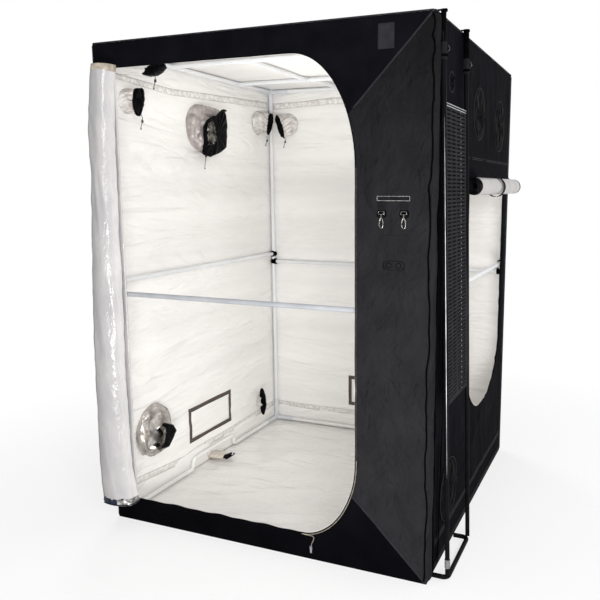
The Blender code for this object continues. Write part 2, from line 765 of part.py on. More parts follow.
for i in range(len(lines_y) - 1):
    for j in range(len(lines_z) - 1):
        if not solid_cell(i, j):
            continue
        for grid in (outer, inner):
            bm.faces.new((grid[i][j], grid[i + 1][j], grid[i + 1][j + 1], grid[i][j + 1]))
        for di, dj, a, b in ((-1, 0, (i, j), (i, j + 1)), (1, 0, (i + 1, j), (i + 1, j + 1)),
                             (0, -1, (i, j), (i + 1, j)), (0, 1, (i, j + 1), (i + 1, j + 1))):
            if not solid_cell(i + di, j + dj):
                bm.faces.new((outer[a[0]][a[1]], outer[b[0]][b[1]], inner[b[0]][b[1]], inner[a[0]][a[1]]))
board = place("rack_board", mesh_from(bm, "rack_board"), black_paint, parent=rack_frame, smooth=False)
for name, low, high in (("board_lip_low", board_bottom, board_bottom + board_thickness),
                        ("board_lip_high", board_top - board_thickness, board_top)):
    lip = cutter(name, box_mesh(name, (-board_flange, board_low_y, low), (0, board_high_y, high)))
    lip.parent = rack_frame
    boolean(board, lip, "UNION")

cap_bore = rack_tube_radius + gap
cap_radius = cap_bore + fitting_wall
cap_top = rack_top + gap + fitting_wall
tongue_low = (tent_height + gap + hook_tongue * math.sin(rack_lean) + hook_rise) / math.cos(rack_lean)
for name, y in (("rack_hook_front", rack_front_y), ("rack_hook_rear", rack_rear_y)):
    bm = bmesh.new()
    half = hook_width / 2
    add_box(bm, (-hook_thickness / 2, -half, rack_top - hook_overlap / 2),
            (hook_thickness / 2, half, tongue_low + hook_thickness))
    hook = place(name, mesh_from(bm, name), ferrule_grey, parent=rack_frame, location=(0, y, 0))
    tongue = cutter(f"{name}_tongue", box_mesh(f"{name}_tongue", (-hook_tongue, -half, tongue_low),
                                               (hook_thickness / 2, half, tongue_low + hook_thickness)))
    tip = cutter(f"{name}_tip", box_mesh(f"{name}_tip", (-hook_tongue - hook_thickness, -half, tongue_low - hook_rise),
                                         (-hook_tongue, half, tongue_low + hook_thickness)))
    shell = cutter(f"{name}_cap", tube_mesh(f"{name}_cap", (0, 0, cap_top - hook_overlap), (0, 0, cap_top), cap_radius))
    bore = cutter(f"{name}_bore", tube_mesh(f"{name}_bore", (0, 0, cap_top - hook_overlap - overrun),
                                            (0, 0, rack_top + gap), cap_bore))
    for guide, operation in ((tongue, "UNION"), (tip, "UNION"), (shell, "UNION"), (bore, "DIFFERENCE")):
        guide.parent = rack_frame
        guide.location = (0, y, 0)
        boolean(hook, guide, operation)

bm = bmesh.new()
levels = ((rack_strap_bottom, cap_bore), (rack_strap_bottom, cap_bore + side_strap_thickness),
          (rack_strap_bottom + rack_strap_height, cap_bore + side_strap_thickness),
          (rack_strap_bottom + rack_strap_height, cap_bore))
cuff = [ring_of(bm, Vector((0, 0, z)), Vector((0, -1, 0)), Vector((1, 0, 0)), pole_sides, radius)
        for z, radius in levels]
for first, second in zip(cuff, cuff[1:] + cuff[:1]):
    bridge(bm, first, second)
place("rack_strap_front", mesh_from(bm, "rack_strap_front"), grey_strap, parent=rack_frame,
      location=(0, rack_front_y, 0))

# Snap hooks on the right jamb, swinging on their upper loops

snap_y = -half_depth - gap - snap_barrel_radius
loop_half = snap_loop_width / 2
barrel_top = -snap_loop_height
barrel_bottom = barrel_top - snap_barrel_height
eye_top = barrel_bottom - snap_body_wire / 2
for name, x in (("snap_hook_left", snap_left_x), ("snap_hook_right", snap_right_x)):
    eye = []
    for step in range(snap_steps):
        angle = 2 * math.pi * step / snap_steps
        narrow = 1 - snap_narrow_share * (1 + math.cos(angle)) / 2
        eye.append((snap_eye_radius * math.sin(angle) * narrow, 0,
                    eye_top - snap_drop / 2 + snap_drop / 2 * math.cos(angle)))
    hook = place(name, sweep_mesh(name, eye, snap_body_wire, small_sides, closed=True), antique_metal,
                 location=(x, snap_y, snap_top - snap_wire))
    barrel = cutter(f"{name}_barrel", tube_mesh(f"{name}_barrel", (0, 0, barrel_bottom - snap_body_wire),
                                                (0, 0, barrel_top + snap_wire / 2), snap_barrel_radius))
    frame = rounded([(0, 0, 0), (loop_half, 0, 0), (loop_half, 0, barrel_top), (-loop_half, 0, barrel_top),
                     (-loop_half, 0, 0), (0, 0, 0)], snap_loop_bend, 2)[:-1]
    loop = cutter(f"{name}_loop", sweep_mesh(f"{name}_loop", frame, snap_wire, small_sides, closed=True))
    for guide in (barrel, loop):
        guide.parent = hook
        boolean(hook, guide, "UNION")

# Slider and pull of the front zip, on the straight tail below the doorway

slider_y = -half_depth - gap - slider_thickness
slider = place("front_zip_slider", box_mesh("front_zip_slider", (-slider_width / 2, 0, 0),
                                            (slider_width / 2, slider_thickness, slider_height)),
               antique_metal, location=(slider_x, slider_y, slider_bottom))
pull = cutter("slider_pull", box_mesh("slider_pull", (-tab_width / 2, -tab_thickness / 2, slider_height - tab_length),
                                      (tab_width / 2, tab_thickness / 2, slider_height * pull_share)))
pull.parent = slider
boolean(slider, pull, "UNION")
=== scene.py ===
# A walk-in grow tent: black oxford cover, white coated lining, plugged steel poles,
# cinched duct sleeves, two rolled doors and a slotted rack, dressed over its CAD frame.
import math
import bmesh
import bpy
import numpy as np
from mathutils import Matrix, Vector


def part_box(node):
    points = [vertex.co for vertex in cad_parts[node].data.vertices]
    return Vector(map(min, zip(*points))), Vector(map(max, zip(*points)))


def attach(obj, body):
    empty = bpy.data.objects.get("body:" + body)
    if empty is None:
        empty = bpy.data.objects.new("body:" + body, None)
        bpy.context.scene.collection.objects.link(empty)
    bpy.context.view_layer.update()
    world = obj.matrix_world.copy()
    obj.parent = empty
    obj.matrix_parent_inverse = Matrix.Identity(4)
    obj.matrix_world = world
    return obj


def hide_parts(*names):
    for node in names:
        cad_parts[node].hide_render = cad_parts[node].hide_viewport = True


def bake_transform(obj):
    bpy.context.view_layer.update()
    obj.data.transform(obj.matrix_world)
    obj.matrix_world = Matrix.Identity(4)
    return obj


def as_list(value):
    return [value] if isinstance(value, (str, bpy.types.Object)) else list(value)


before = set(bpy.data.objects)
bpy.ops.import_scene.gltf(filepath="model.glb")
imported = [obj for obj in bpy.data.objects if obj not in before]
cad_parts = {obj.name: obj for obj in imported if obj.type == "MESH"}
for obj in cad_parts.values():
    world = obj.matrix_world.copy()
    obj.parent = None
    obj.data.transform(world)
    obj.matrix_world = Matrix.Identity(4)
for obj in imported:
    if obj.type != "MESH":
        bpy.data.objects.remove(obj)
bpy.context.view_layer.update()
print("frame loaded")

scene = bpy.context.scene
scene.view_settings.view_transform = "Standard"


def newObject(name, data):
    made = bpy.data.objects.new(name, data)
    scene.collection.objects.link(made)
    return made


camera = {"place": (1.43133, -3.10934, 1.5252), "turn": 22.0, "tilt": -8.75, "lens": 40.82,
          "shift": (-0.1023, -0.0121)}
lens = bpy.data.cameras.new("photoCamera")
lens.lens = camera["lens"]
lens.shift_x, lens.shift_y = camera["shift"]
scene.camera = newObject("photoCamera", lens)
scene.camera.location = camera["place"]
scene.camera.rotation_euler = (math.radians(90 + camera["tilt"]), 0, math.radians(camera["turn"]))


# Materials

def hexColour(code):  # sRGB hex to linear
    channels = [int(code[i:i + 2], 16) / 255 for i in (1, 3, 5)]
    return tuple(c / 12.92 if c <= 0.04045 else ((c + 0.055) / 1.055) ** 2.4 for c in channels) + (1.0,)


def addNode(tree, kind, links=None, **settings):  # one node, its settings, and its sockets' values or links
    node = tree.nodes.new(kind)
    for name, value in settings.items():
        setattr(node, name, value)
    for socket, value in (links or {}).items():
        if isinstance(value, bpy.types.NodeSocket):
            tree.links.new(value, node.inputs[socket])
        else:
            node.inputs[socket].default_value = value
    return node


def newMaterial(name, colour, roughness, specular=0.5, metallic=0.0):
    made = bpy.data.materials.new(name)
    made.use_nodes = True
    sockets = made.node_tree.nodes["Principled BSDF"].inputs
    for socket, value in (("Base Color", hexColour(colour)), ("Roughness", roughness),
                          ("Specular IOR Level", specular), ("Metallic", metallic)):
        sockets[socket].default_value = value
    return made


even = (1, 1, 1)


def relief(kind):
    return lambda size, height, stretch=even: (kind, size, height, stretch)


thread, crease, facet, soft = (relief(kind) for kind in ("thread", "crease", "facet", "soft"))


def crinkle(made, layers, tint, shade):
    # layers of relief by size in mm, height in mm and stretch; tint is (size in mm, dark hex, pale hex,
    # stretch or nothing); each shade is (axis, from, to, share of the light at the start, share at the end),
    # along an axis in metres or by the way the surface faces, as nX or nY
    tree = made.node_tree
    sockets = tree.nodes["Principled BSDF"].inputs
    places = addNode(tree, "ShaderNodeTexCoord").outputs
    coords = places["Object"]
    lastBump = {}
    for kind, size, height, stretch in layers:
        place = addNode(tree, "ShaderNodeMapping", {"Vector": coords, "Scale": stretch}).outputs[0]
        if kind == "thread":
            bands = [addNode(tree, "ShaderNodeTexWave", {"Vector": place, "Scale": 314 / size},
                             bands_direction=way).outputs["Fac"] for way in "XYZ"]
            source = addNode(tree, "ShaderNodeMath", {0: bands[0], 1: bands[1]}, operation="ADD").outputs[0]
            source = addNode(tree, "ShaderNodeMath", {0: source, 1: bands[2]}, operation="ADD").outputs[0]
        elif kind == "facet":
            values = {"Vector": place, "Scale": 1000 / size, "Randomness": 1.0}
            source = addNode(tree, "ShaderNodeTexVoronoi", values,
                             feature="DISTANCE_TO_EDGE").outputs["Distance"]
        else:
            values = {"Vector": place, "Scale": 1000 / size, "Detail": 3.0, "Roughness": 0.55,
                      "Distortion": 0.6 if kind == "crease" else 0.0}
            source = addNode(tree, "ShaderNodeTexNoise", values).outputs["Fac"]
            if kind == "crease":  # folded back on itself, so its ridges are sharp
                source = addNode(tree, "ShaderNodeMath", {0: source, 1: 0.5}, operation="SUBTRACT").outputs[0]
                source = addNode(tree, "ShaderNodeMath", {0: source}, operation="ABSOLUTE").outputs[0]
        values = {"Height": source, "Distance": height / 1000, "Strength": 1.0, **lastBump}
        lastBump = {"Normal": addNode(tree, "ShaderNodeBump", values).outputs[0]}
    tree.links.new(lastBump["Normal"], sockets["Normal"])
    size, dark, pale, stretch = (*tint, even)[:4]
    place = addNode(tree, "ShaderNodeMapping", {"Vector": coords, "Scale": stretch}).outputs[0]
    values = {"Vector": place, "Scale": 1000 / size, "Detail": 4.0}
    cloud = addNode(tree, "ShaderNodeTexNoise", values).outputs["Fac"]
    values = {"Value": cloud, "From Min": 0.35, "From Max": 0.65}
    ramp = addNode(tree, "ShaderNodeMapRange", values).outputs[0]
    mix = addNode(tree, "ShaderNodeMix", {"Factor": ramp}, data_type="RGBA")
    mix.inputs["A"].default_value, mix.inputs["B"].default_value = hexColour(dark), hexColour(pale)
    result = mix.outputs["Result"]
    for axis, start, end, first, last in shade:
        facing = places["Normal"] if axis[0] == "n" else coords
        along = addNode(tree, "ShaderNodeSeparateXYZ", {"Vector": facing}).outputs[axis[-1]]
        values = {"Value": along, "From Min": start, "From Max": end, "To Min": first, "To Max": last}
        share = addNode(tree, "ShaderNodeMapRange", values).outputs[0]
        scaled = addNode(tree, "ShaderNodeVectorMath", {0: result}, operation="SCALE")
        tree.links.new(share, scaled.inputs["Scale"])
        result = scaled.outputs[0]
    tree.links.new(result, sockets["Base Color"])
    return made


# each substance: roughness, specular level, metallic, relief, tint, and any shades
substances = {
    # 600 denier polyester oxford, woven and backed with PU: matt black with a soft nap.
    # Its thread is 0.6 mm; it is drawn at 2.4 mm so that the weave shows.
    # Its colour is painted darker towards the top of the cover, as shade.
    "blackOxford": (0.8, 0.05, 0, [thread(2.4, 0.10), crease(22, 3.6), crease(56, 16, (1, 1, 0.8)),
                                   crease(130, 40, (1, 1, 0.7))],
                    (110, "#1e1e20", "#242426", (1.2, 1, 0.8)), ("Z", 1.4, 2.1, 1.0, 0.36)),
    # the same cloth on the walls and the roof, brushed by handling: its folds shine a little
    "outerOxford": (0.58, 0.2, 0, [thread(2.4, 0.10), crease(70, 9), crease(220, 34, (1, 1, 1.3))],
                    (200, "#17171b", "#2a2a30")),
    # the same cloth in a darker copy for the header, sill and bindings: painted shade, darker still towards the
    # bottom
    "crossOxford": (0.85, 0.02, 0, [thread(2.4, 0.08), crease(120, 12, (0.6, 1, 1))],
                    (150, "#09090d", "#0f0f14"), ("Z", 0.08, 0.5, 0.42, 1.0)),
    # the side wall's cloth in a darker copy: painted shade, as the wall faces away from the softboxes
    "sideOxford": (0.8, 0.015, 0, [thread(2.4, 0.08), crease(110, 8, (1, 1, 0.8))],
                   (140, "#07070b", "#0d0d12")),
    # PEVA coated lining, laminated white film: satin gloss over shallow crinkles.
    # Its tint runs in level bands, painted shade of its folds; it is painted brighter near the floor.
    "whiteLining": (0.42, 0.4, 0, [soft(9, 0.25), crease(34, 2.2, (0.8, 0.8, 1.2)),
                                   crease(110, 7, (0.7, 0.7, 1.4)),
                                   crease(300, 34, (0.5, 0.5, 2.4))],
                    (330, "#e9e7e4", "#f3f1ee", (0.14, 0.14, 2.6)), ("Z", 0.1, 0.8, 1.06, 1.0)),
    # the tray is the same film, heavier and glossier, with sharper packing folds
    "trayFilm": (0.15, 0.5, 0, [soft(14, 0.3), crease(40, 3.6, (0.5, 1, 1)), crease(130, 12, (0.4, 1.2, 1))],
                 (300, "#f4f2ef", "#fbf9f6", (0.5, 1.3, 1))),
    # the same film on the front door, wet looking, with painted shade: darker facing left, brighter facing
    # right
    "rollFilm": (0.16, 0.5, 0, [soft(8, 0.3), crease(18, 1.8, (1, 1, 0.7)), crease(50, 5.5, (1, 1, 0.6)),
                                crease(150, 8, (1.2, 1.2, 0.5))],
                 (160, "#bcbabb", "#c8c6c5"), ("nX", -0.8, 0.25, 0.34, 0.80), ("nY", -0.7, 0.3, 1.0, 1.75)),
    # and on the side door's roll, duller, a darker copy that is painted shade, even all over
    "sideFilm": (0.3, 0.4, 0, [soft(8, 0.3), crease(26, 2.4, (1, 0.6, 1)), crease(90, 8, (1, 0.6, 1))],
                 (120, "#a7a4a3", "#b5b1af")),
    # silver coated nylon, calendered: a cool metallic film that creases in facets
    "silverNylon": (0.34, 0.5, 0.25, [crease(26, 6, (1, 1, 0.4)), facet(46, 15, (1, 1, 0.6))],
                    (60, "#857d7b", "#bab2af")),
    # the same film in the big low sleeve, crushed and catching more of the light
    "foilNylon": (0.26, 0.5, 0.55, [crease(22, 3), facet(56, 12)], (50, "#8a847f", "#cbc6c0")),
    # the narrow sleeves are the same cloth with a thinner coat, so the white lining shows through it
    "paleNylon": (0.42, 0.5, 0.1, [crease(22, 3.4), facet(40, 11)], (40, "#b4aeaa", "#dedad6")),
    # uncoated nylon of the drain, the colour of thread
    "creamNylon": (0.4, 0.5, 0, [crease(18, 1.2)], (30, "#cac1b4", "#e2dcd2")),
    # black coated nylon of the sleeve ends: nearly matt, a faint sheen on its folds
    "blackNylon": (0.3, 0.035, 0, [crease(16, 0.7), crease(45, 3)], (50, "#040405", "#08080b")),
    # the glossy inside of that nylon: black, the pale slivers of its tint painted highlights
    "innerFilm": (0.16, 0.5, 0.9, [crease(22, 5), facet(40, 9)], (34, "#121110", "#7d7873")),
    # black nylon in a darker copy, painted as the deep shade behind the outer openings: almost no light comes
    # back
    "portFilm": (0.6, 0.012, 0, [crease(30, 9, (1, 0.6, 1)), facet(70, 24)], (22, "#010102", "#0c0c0e")),
    # the door's lower edge: navy tape, then its zip tape crushed into folds, with painted highlights in its
    # tint
    "navyTape": (0.3, 0.2, 0, [crease(9, 1.2)], (26, "#080a12", "#1b2338")),
    "crushedEdge": (0.24, 0.5, 0.6, [crease(18, 3.6), facet(34, 6)], (22, "#2c2c32", "#d6d2cf")),
    # a painted highlight down the rack's front upright, widest at mid height
    "rubbedPaint": (0.3, 0.5, 0, [soft(4, 0.1)], (60, "#a0a2a6", "#e6e8ea")),
    # moulded nylon ferrules, dulled by handling
    "dullNylon": (0.45, 0.2, 0, [soft(3, 0.08)], (20, "#323237", "#44444a")),
    # powder coated steel tube: slight orange peel
    "whitePowder": (0.33, 0.5, 0, [soft(2.5, 0.03)], (300, "#dcdee0", "#e7e8e9")),
    # the rails on the floor: a lighter copy of the white, painted light, to take the tone of the film beside
    # them
    "railPowder": (0.4, 0.5, 0, [soft(2.5, 0.03)], (300, "#e6e5e3", "#f0efed")),
    # the rack's tubes: a smooth black coat that mirrors little
    "blackPowder": (0.16, 0.03, 0, [soft(2, 0.05)], (90, "#0b0b0d", "#111113")),
    # its slotted sheet has a coarser, duller coat than the tubes
    "blackCoat": (0.7, 0.03, 0, [soft(3, 0.1)], (60, "#1d1d1f", "#28282a")),
    # bright zinc of the rivets, drawn also along the sheet's top as a painted highlight of its folded flange
    "zincEdge": (0.3, 0.5, 0.9, [soft(4, 0.05)], (20, "#b7babf", "#dadde0")),
    # the front bar: a darker grey copy of the poles' white, painted shade, a little duller
    "greyZinc": (0.36, 0.4, 0, [soft(3, 0.04)], (120, "#a0a3a8", "#b2b4b8")),
    # injection moulded nylon fittings: fine spark eroded grain
    "greyNylon": (0.45, 0.5, 0, [soft(1.6, 0.05)], (60, "#cdd0d5", "#dddfe2")),
    # the cord locks in black ABS, a satin mould finish
    "blackMoulding": (0.42, 0.5, 0, [soft(1.5, 0.04)], (40, "#0e0e10", "#17171a")),
    # polypropylene webbing: ribbed across, dull
    "blackWebbing": (0.8, 0.1, 0, [thread(2.2, 0.35)], (30, "#101012", "#1a1a1d")),
    # cotton binding tape at the head of the roll: undyed and soiled
    "beigeTape": (0.7, 0.5, 0, [thread(2.2, 0.3)], (24, "#9c9083", "#c3b8a8")),
    # aluminised reinforcing tape: crinkled, mottled grey over white
    "bandTape": (0.30, 0.5, 0.1, [crease(6, 0.7), crease(22, 2)], (16, "#d3cfca", "#f1efec")),
    # hook and loop tape: dense pile, no gloss
    "brownLoop": (0.9, 0.2, 0, [soft(2, 0.7)], (9, "#463d3a", "#655a55")),
    "greyLoop": (0.9, 0.2, 0, [soft(2, 0.7)], (9, "#5a595b", "#7d7c7e")),
    # nickel plated zinc castings, aged: dark in the hollows
    "agedNickel": (0.24, 0.5, 1, [soft(3, 0.12)], (7, "#2b2a29", "#85827e")),
    # the zip slider and teeth in bright nickel plate
    "brightSteel": (0.25, 0.5, 1, [soft(2, 0.03)], (12, "#a6a9ad", "#c8cbce")),
    # braided polyester cord: a fine dull plait
    "braidedCord": (0.75, 0.25, 0, [thread(1.6, 0.3)], (6, "#0e0e10", "#1e1e21")),
    # the zip's nylon coil, yellowed
    "zipCoil": (0.45, 0.5, 0, [thread(3, 0.5)], (20, "#766d60", "#a59c8c")),
    # bound seams of the cover: black tape a little paler than the cloth beside it
    "seamBlack": (0.7, 0.2, 0, [thread(2.2, 0.3)], (30, "#17171b", "#212126")),
    # near-black tape and fittings: piping along the seams, and at the front corner the painted shade of deep
    # creases
    "pipingBlack": (0.8, 0.01, 0, [thread(2.2, 0.2)], (30, "#020203", "#060607")),
    # polyester seam tape and thread on the lining: grey where dirt settles in the stitches
    "seamGrey": (0.6, 0.5, 0, [thread(2.2, 0.3)], (9, "#9d9b99", "#dcdad7")),
    # black insect mesh of the vents, its 1 mm weave drawn at 3 mm so that it shows
    "insectMesh": (0.7, 0.2, 0, [thread(3, 0.6)], (20, "#151518", "#232327"))}
looks = {name: crinkle(newMaterial(name, tint[2], roughness, specular, metallic), layers, tint, shade)
         for name, (roughness, specular, metallic, layers, tint, *shade) in substances.items()}
print("materials made")


# Stage

stage = {"worldLight": 0.52, "fadeFrom": 1.3, "fadeTo": 2.6, "paperGlow": 0.7, "floor": -0.0006,
         "lamps": [("keySoftbox", (2.7, -3.3, 2.2), (-0.3, 0.2, 0.9), (1.5, 1.5), 70),
                   ("lowSoftbox", (1.2, -3.0, 0.45), (-0.2, 0.5, 1.9), (1.2, 0.9), 58),
                   ("sideSoftbox", (2.6, 0.5, 1.5), (-0.7, 0.1, 1.1), (1.5, 1.5), 14),
                   ("ceilingLift", (0.0, -0.05, 1.72), (0.0, 0.0, 2.1), (1.0, 1.0), 2.9),
                   ("backSoftbox", (-2.6, 3.0, 2.6), (-0.4, 0.4, 1.0), (1.6, 1.6), 60)]}


def meshOf(points, faces):
    mesh = bpy.data.meshes.new("mesh")
    mesh.from_pydata(points, [], faces)
    return mesh


def stageScene():
    scene.world = bpy.data.worlds.new("studio")
    scene.world.use_nodes = True
    tree = scene.world.node_tree
    ray = addNode(tree, "ShaderNodeLightPath").outputs
    seen = ray["Is Camera Ray"]
    for kind in ("Is Glossy Ray", "Is Transmission Ray"):
        seen = addNode(tree, "ShaderNodeMath", {0: seen, 1: ray[kind]}, operation="MAXIMUM").outputs[0]
    values = {"Value": seen, "To Min": stage["worldLight"], "To Max": 1.0}
    strength = addNode(tree, "ShaderNodeMapRange", values).outputs[0]
    background = tree.nodes["Background"]
    background.inputs["Color"].default_value = (1, 1, 1, 1)
    tree.links.new(strength, background.inputs["Strength"])
    for name, place, aim, size, power in stage["lamps"]:
        lamp = bpy.data.lights.new(name, "AREA")
        lamp.shape, lamp.size, lamp.size_y, lamp.energy = "RECTANGLE", *size, power
        lampObject = newObject(name, lamp)
        lampObject.location = place
        lampObject.rotation_euler = (Vector(aim) - Vector(place)).to_track_quat("-Z", "Y").to_euler()
    paper = newMaterial("studioPaper", "#fbfbfb", 0.9, 0.1)
    tree = paper.node_tree
    coords = addNode(tree, "ShaderNodeTexCoord").outputs["Object"]
    away = addNode(tree, "ShaderNodeVectorMath", {0: coords}, operation="LENGTH").outputs["Value"]
    values = {"Value": away, "From Min": stage["fadeFrom"], "From Max": stage["fadeTo"]}
    fade = addNode(tree, "ShaderNodeMapRange", values).outputs[0]
    clear = addNode(tree, "ShaderNodeBsdfTransparent").outputs[0]
    ray = addNode(tree, "ShaderNodeLightPath").outputs["Is Camera Ray"]
    seen = addNode(tree, "ShaderNodeMath", {0: ray, 1: stage["paperGlow"]}, operation="MULTIPLY").outputs[0]
    glow = addNode(tree, "ShaderNodeEmission", {"Color": (1, 1, 1, 1), "Strength": 1.0}).outputs[0]
    lit = tree.nodes["Principled BSDF"].outputs[0]
    lit = addNode(tree, "ShaderNodeMixShader", {"Fac": seen, 1: lit, 2: glow}).outputs[0]
    mix = addNode(tree, "ShaderNodeMixShader", {"Fac": fade, 1: lit, 2: clear}).outputs[0]
    tree.links.new(mix, tree.nodes["Material Output"].inputs["Surface"])
    half, level = stage["fadeTo"], stage["floor"]
    mesh = meshOf([(x * half, y * half, level) for x, y in ((-1, -1), (1, -1), (1, 1), (-1, 1))],
                  [(0, 1, 2, 3)])
    mesh.materials.append(paper)
    newObject("studioFloor", mesh)


stageScene()
print("stage set")


# Mesh helpers

def putPiece(name, mesh, finish, body="tent", replaced=(), slot=None, smooth=True):
    # finish names the materials in the order of the mesh's numbers; a single one does for both faces of a cloth
    piece = newObject(name, mesh)
    mesh.name = name
    finish = finish.split()
    finish += finish[-1:] * (mesh.polygons[-1].material_index + 1 - len(finish))
    for made in finish:
        mesh.materials.append(looks[made])
    if smooth:
        mesh.shade_smooth()
    if body:
        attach(piece, body)
    if replaced:
        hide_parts(*replaced)
    return piece


def closeMesh(mesh, weld=0.0):  # its faces turned outwards, and its doubled corners welded
    bm = bmesh.new()
    bm.from_mesh(mesh)
    if weld:
        bmesh.ops.remove_doubles(bm, verts=bm.verts, dist=weld)
    bmesh.ops.recalc_face_normals(bm, faces=bm.faces)
    bm.to_mesh(mesh)
    bm.free()
    return mesh


def gridMesh(points, wrap=False, thick=0.0, outward=1):
    # points[row][column]; wrap joins the last column to the first; thick gives the cloth a second face
    points = np.asarray(points, float)
    rows, columns = points.shape[:2]
    index = np.arange(rows * columns).reshape(rows, columns)
    right = np.roll(index, -1, axis=1) if wrap else index[:, 1:]
    left = index if wrap else index[:, :-1]
    quads = np.stack([left[:-1], right[:-1], right[1:], left[1:]], axis=-1).reshape(-1, 4)
    mesh = meshOf(points.reshape(-1, 3).tolist(), quads.tolist())
    if thick:
        bm = bmesh.new()
        bm.from_mesh(mesh)
        bm.normal_update()
        top = {v: bm.verts.new(v.co - v.normal * thick * outward) for v in list(bm.verts)}
        faces, borders = list(bm.faces), [e for e in bm.edges if e.is_boundary]
        for face in faces:
            bm.faces.new([top[v] for v in reversed(face.verts)]).material_index = 1
        for edge in borders:
            a, b = edge.verts
            if edge.link_loops[0].vert is not a:
                a, b = b, a
            bm.faces.new((b, a, top[a], top[b])).material_index = 1
        bm.to_mesh(mesh)
        bm.free()
    return mesh


def softNoise(a, b, size, seed):  # smooth lattice noise from -1 to 1, with its cell size in metres
    cells = 61
    lattice = np.random.default_rng(seed).uniform(-1, 1, (cells, cells))
    u, v = np.asarray(a) / size[0] + 17.3, np.asarray(b) / size[1] + 11.9
    i, j = np.floor(u).astype(int), np.floor(v).astype(int)
    f, g = smoothStep(u - i), smoothStep(v - j)
    i, j, k, l = i % cells, j % cells, (i + 1) % cells, (j + 1) % cells
    return (lattice[i, j] * (1 - f) * (1 - g) + lattice[k, j] * f * (1 - g)
            + lattice[i, l] * (1 - f) * g + lattice[k, l] * f * g)


def sharpNoise(a, b, size, seed):  # the same, folded so that its ridges are sharp
    return 1 - 2 * np.abs(softNoise(a, b, size, seed))


def smoothStep(value):
    value = np.clip(value, 0, 1)
    return value * value * (3 - 2 * value)


def creaseLines(a, b, lines):  # lines of (a0, b0, a1, b1, width, rise)
    total = np.zeros(np.shape(a))
    for a0, b0, a1, b1, width, rise in lines:
        da, db = a1 - a0, b1 - b0
        along = np.clip(((a - a0) * da + (b - b0) * db) / (da * da + db * db), 0, 1)
        apart = np.hypot(a - (a0 + along * da), b - (b0 + along * db))
        total += rise * np.exp(-(apart / width) ** 1.4)
    return total


# a round tube along a route, of one radius or one per point
def sweptMesh(route, radii, sides=8, closed=False):
    route = [Vector(p) for p in route]
    count, across, points = len(route), None, []
    radii = radii if isinstance(radii, list) else [radii] * count
    for index, point in enumerate(route):
        ahead = route[(index + 1) % count] if closed or index < count - 1 else point
        behind = route[index - 1] if closed or index > 0 else point
        direction = (ahead - behind).normalized()
        if across is None:
            across = direction.orthogonal().normalized()
        across = (across - direction * across.dot(direction)).normalized()
        up = direction.cross(across)
        points += [point + (across * math.cos(math.tau * s / sides)
                            + up * math.sin(math.tau * s / sides)) * radii[index]
                   for s in range(sides)]
    rings = np.arange(count * sides).reshape(count, sides).tolist()
    faces = [(first[s], first[(s + 1) % sides], second[(s + 1) % sides], second[s])
             for first, second in zip(rings, rings[1:] + rings[:1] * closed) for s in range(sides)]
    return closeMesh(meshOf(points, faces + ([] if closed else [rings[0][::-1], rings[-1]])))


def boxMesh(boxes):  # several boxes of (low, high) in one mesh
    sides = ((0, 1, 3, 2), (4, 6, 7, 5), (0, 4, 5, 1), (2, 3, 7, 6), (0, 2, 6, 4), (1, 5, 7, 3))
    points = [(x, y, z) for low, high in boxes for x in (low[0], high[0]) for y in (low[1], high[1])
              for z in (low[2], high[2])]
    return meshOf(points, [[8 * box + i for i in side] for box in range(len(boxes)) for side in sides])


def applyModifiers(piece):
    mesh = bpy.data.meshes.new_from_object(piece.evaluated_get(bpy.context.evaluated_depsgraph_get()))
    piece.modifiers.clear()
    old, piece.data = piece.data, mesh
    bpy.data.meshes.remove(old)


def quarterArc(centre, width, height, turns, steps=24):
    angles = [math.tau * (turns + s / steps / 4) for s in range(steps + 1)]
    return [(centre[0] + width * math.cos(t), centre[1] + height * math.sin(t)) for t in angles]


def hoop(centre, first, second, count, closed=False):  # points round an ellipse with two half axes
    centre, first, second = (np.array(v, float) for v in (centre, first, second))
    angles = np.linspace(0, math.tau, count, endpoint=closed)
    return [centre + first * math.cos(t) + second * math.sin(t) for t in angles]


# Walls: a wall is a plane with two directions in it and one out of it, and middle is where its middle lies
# along it. Their folds are (across, up, across, up, width, rise outwards), measured from the wall's lower
# left corner.

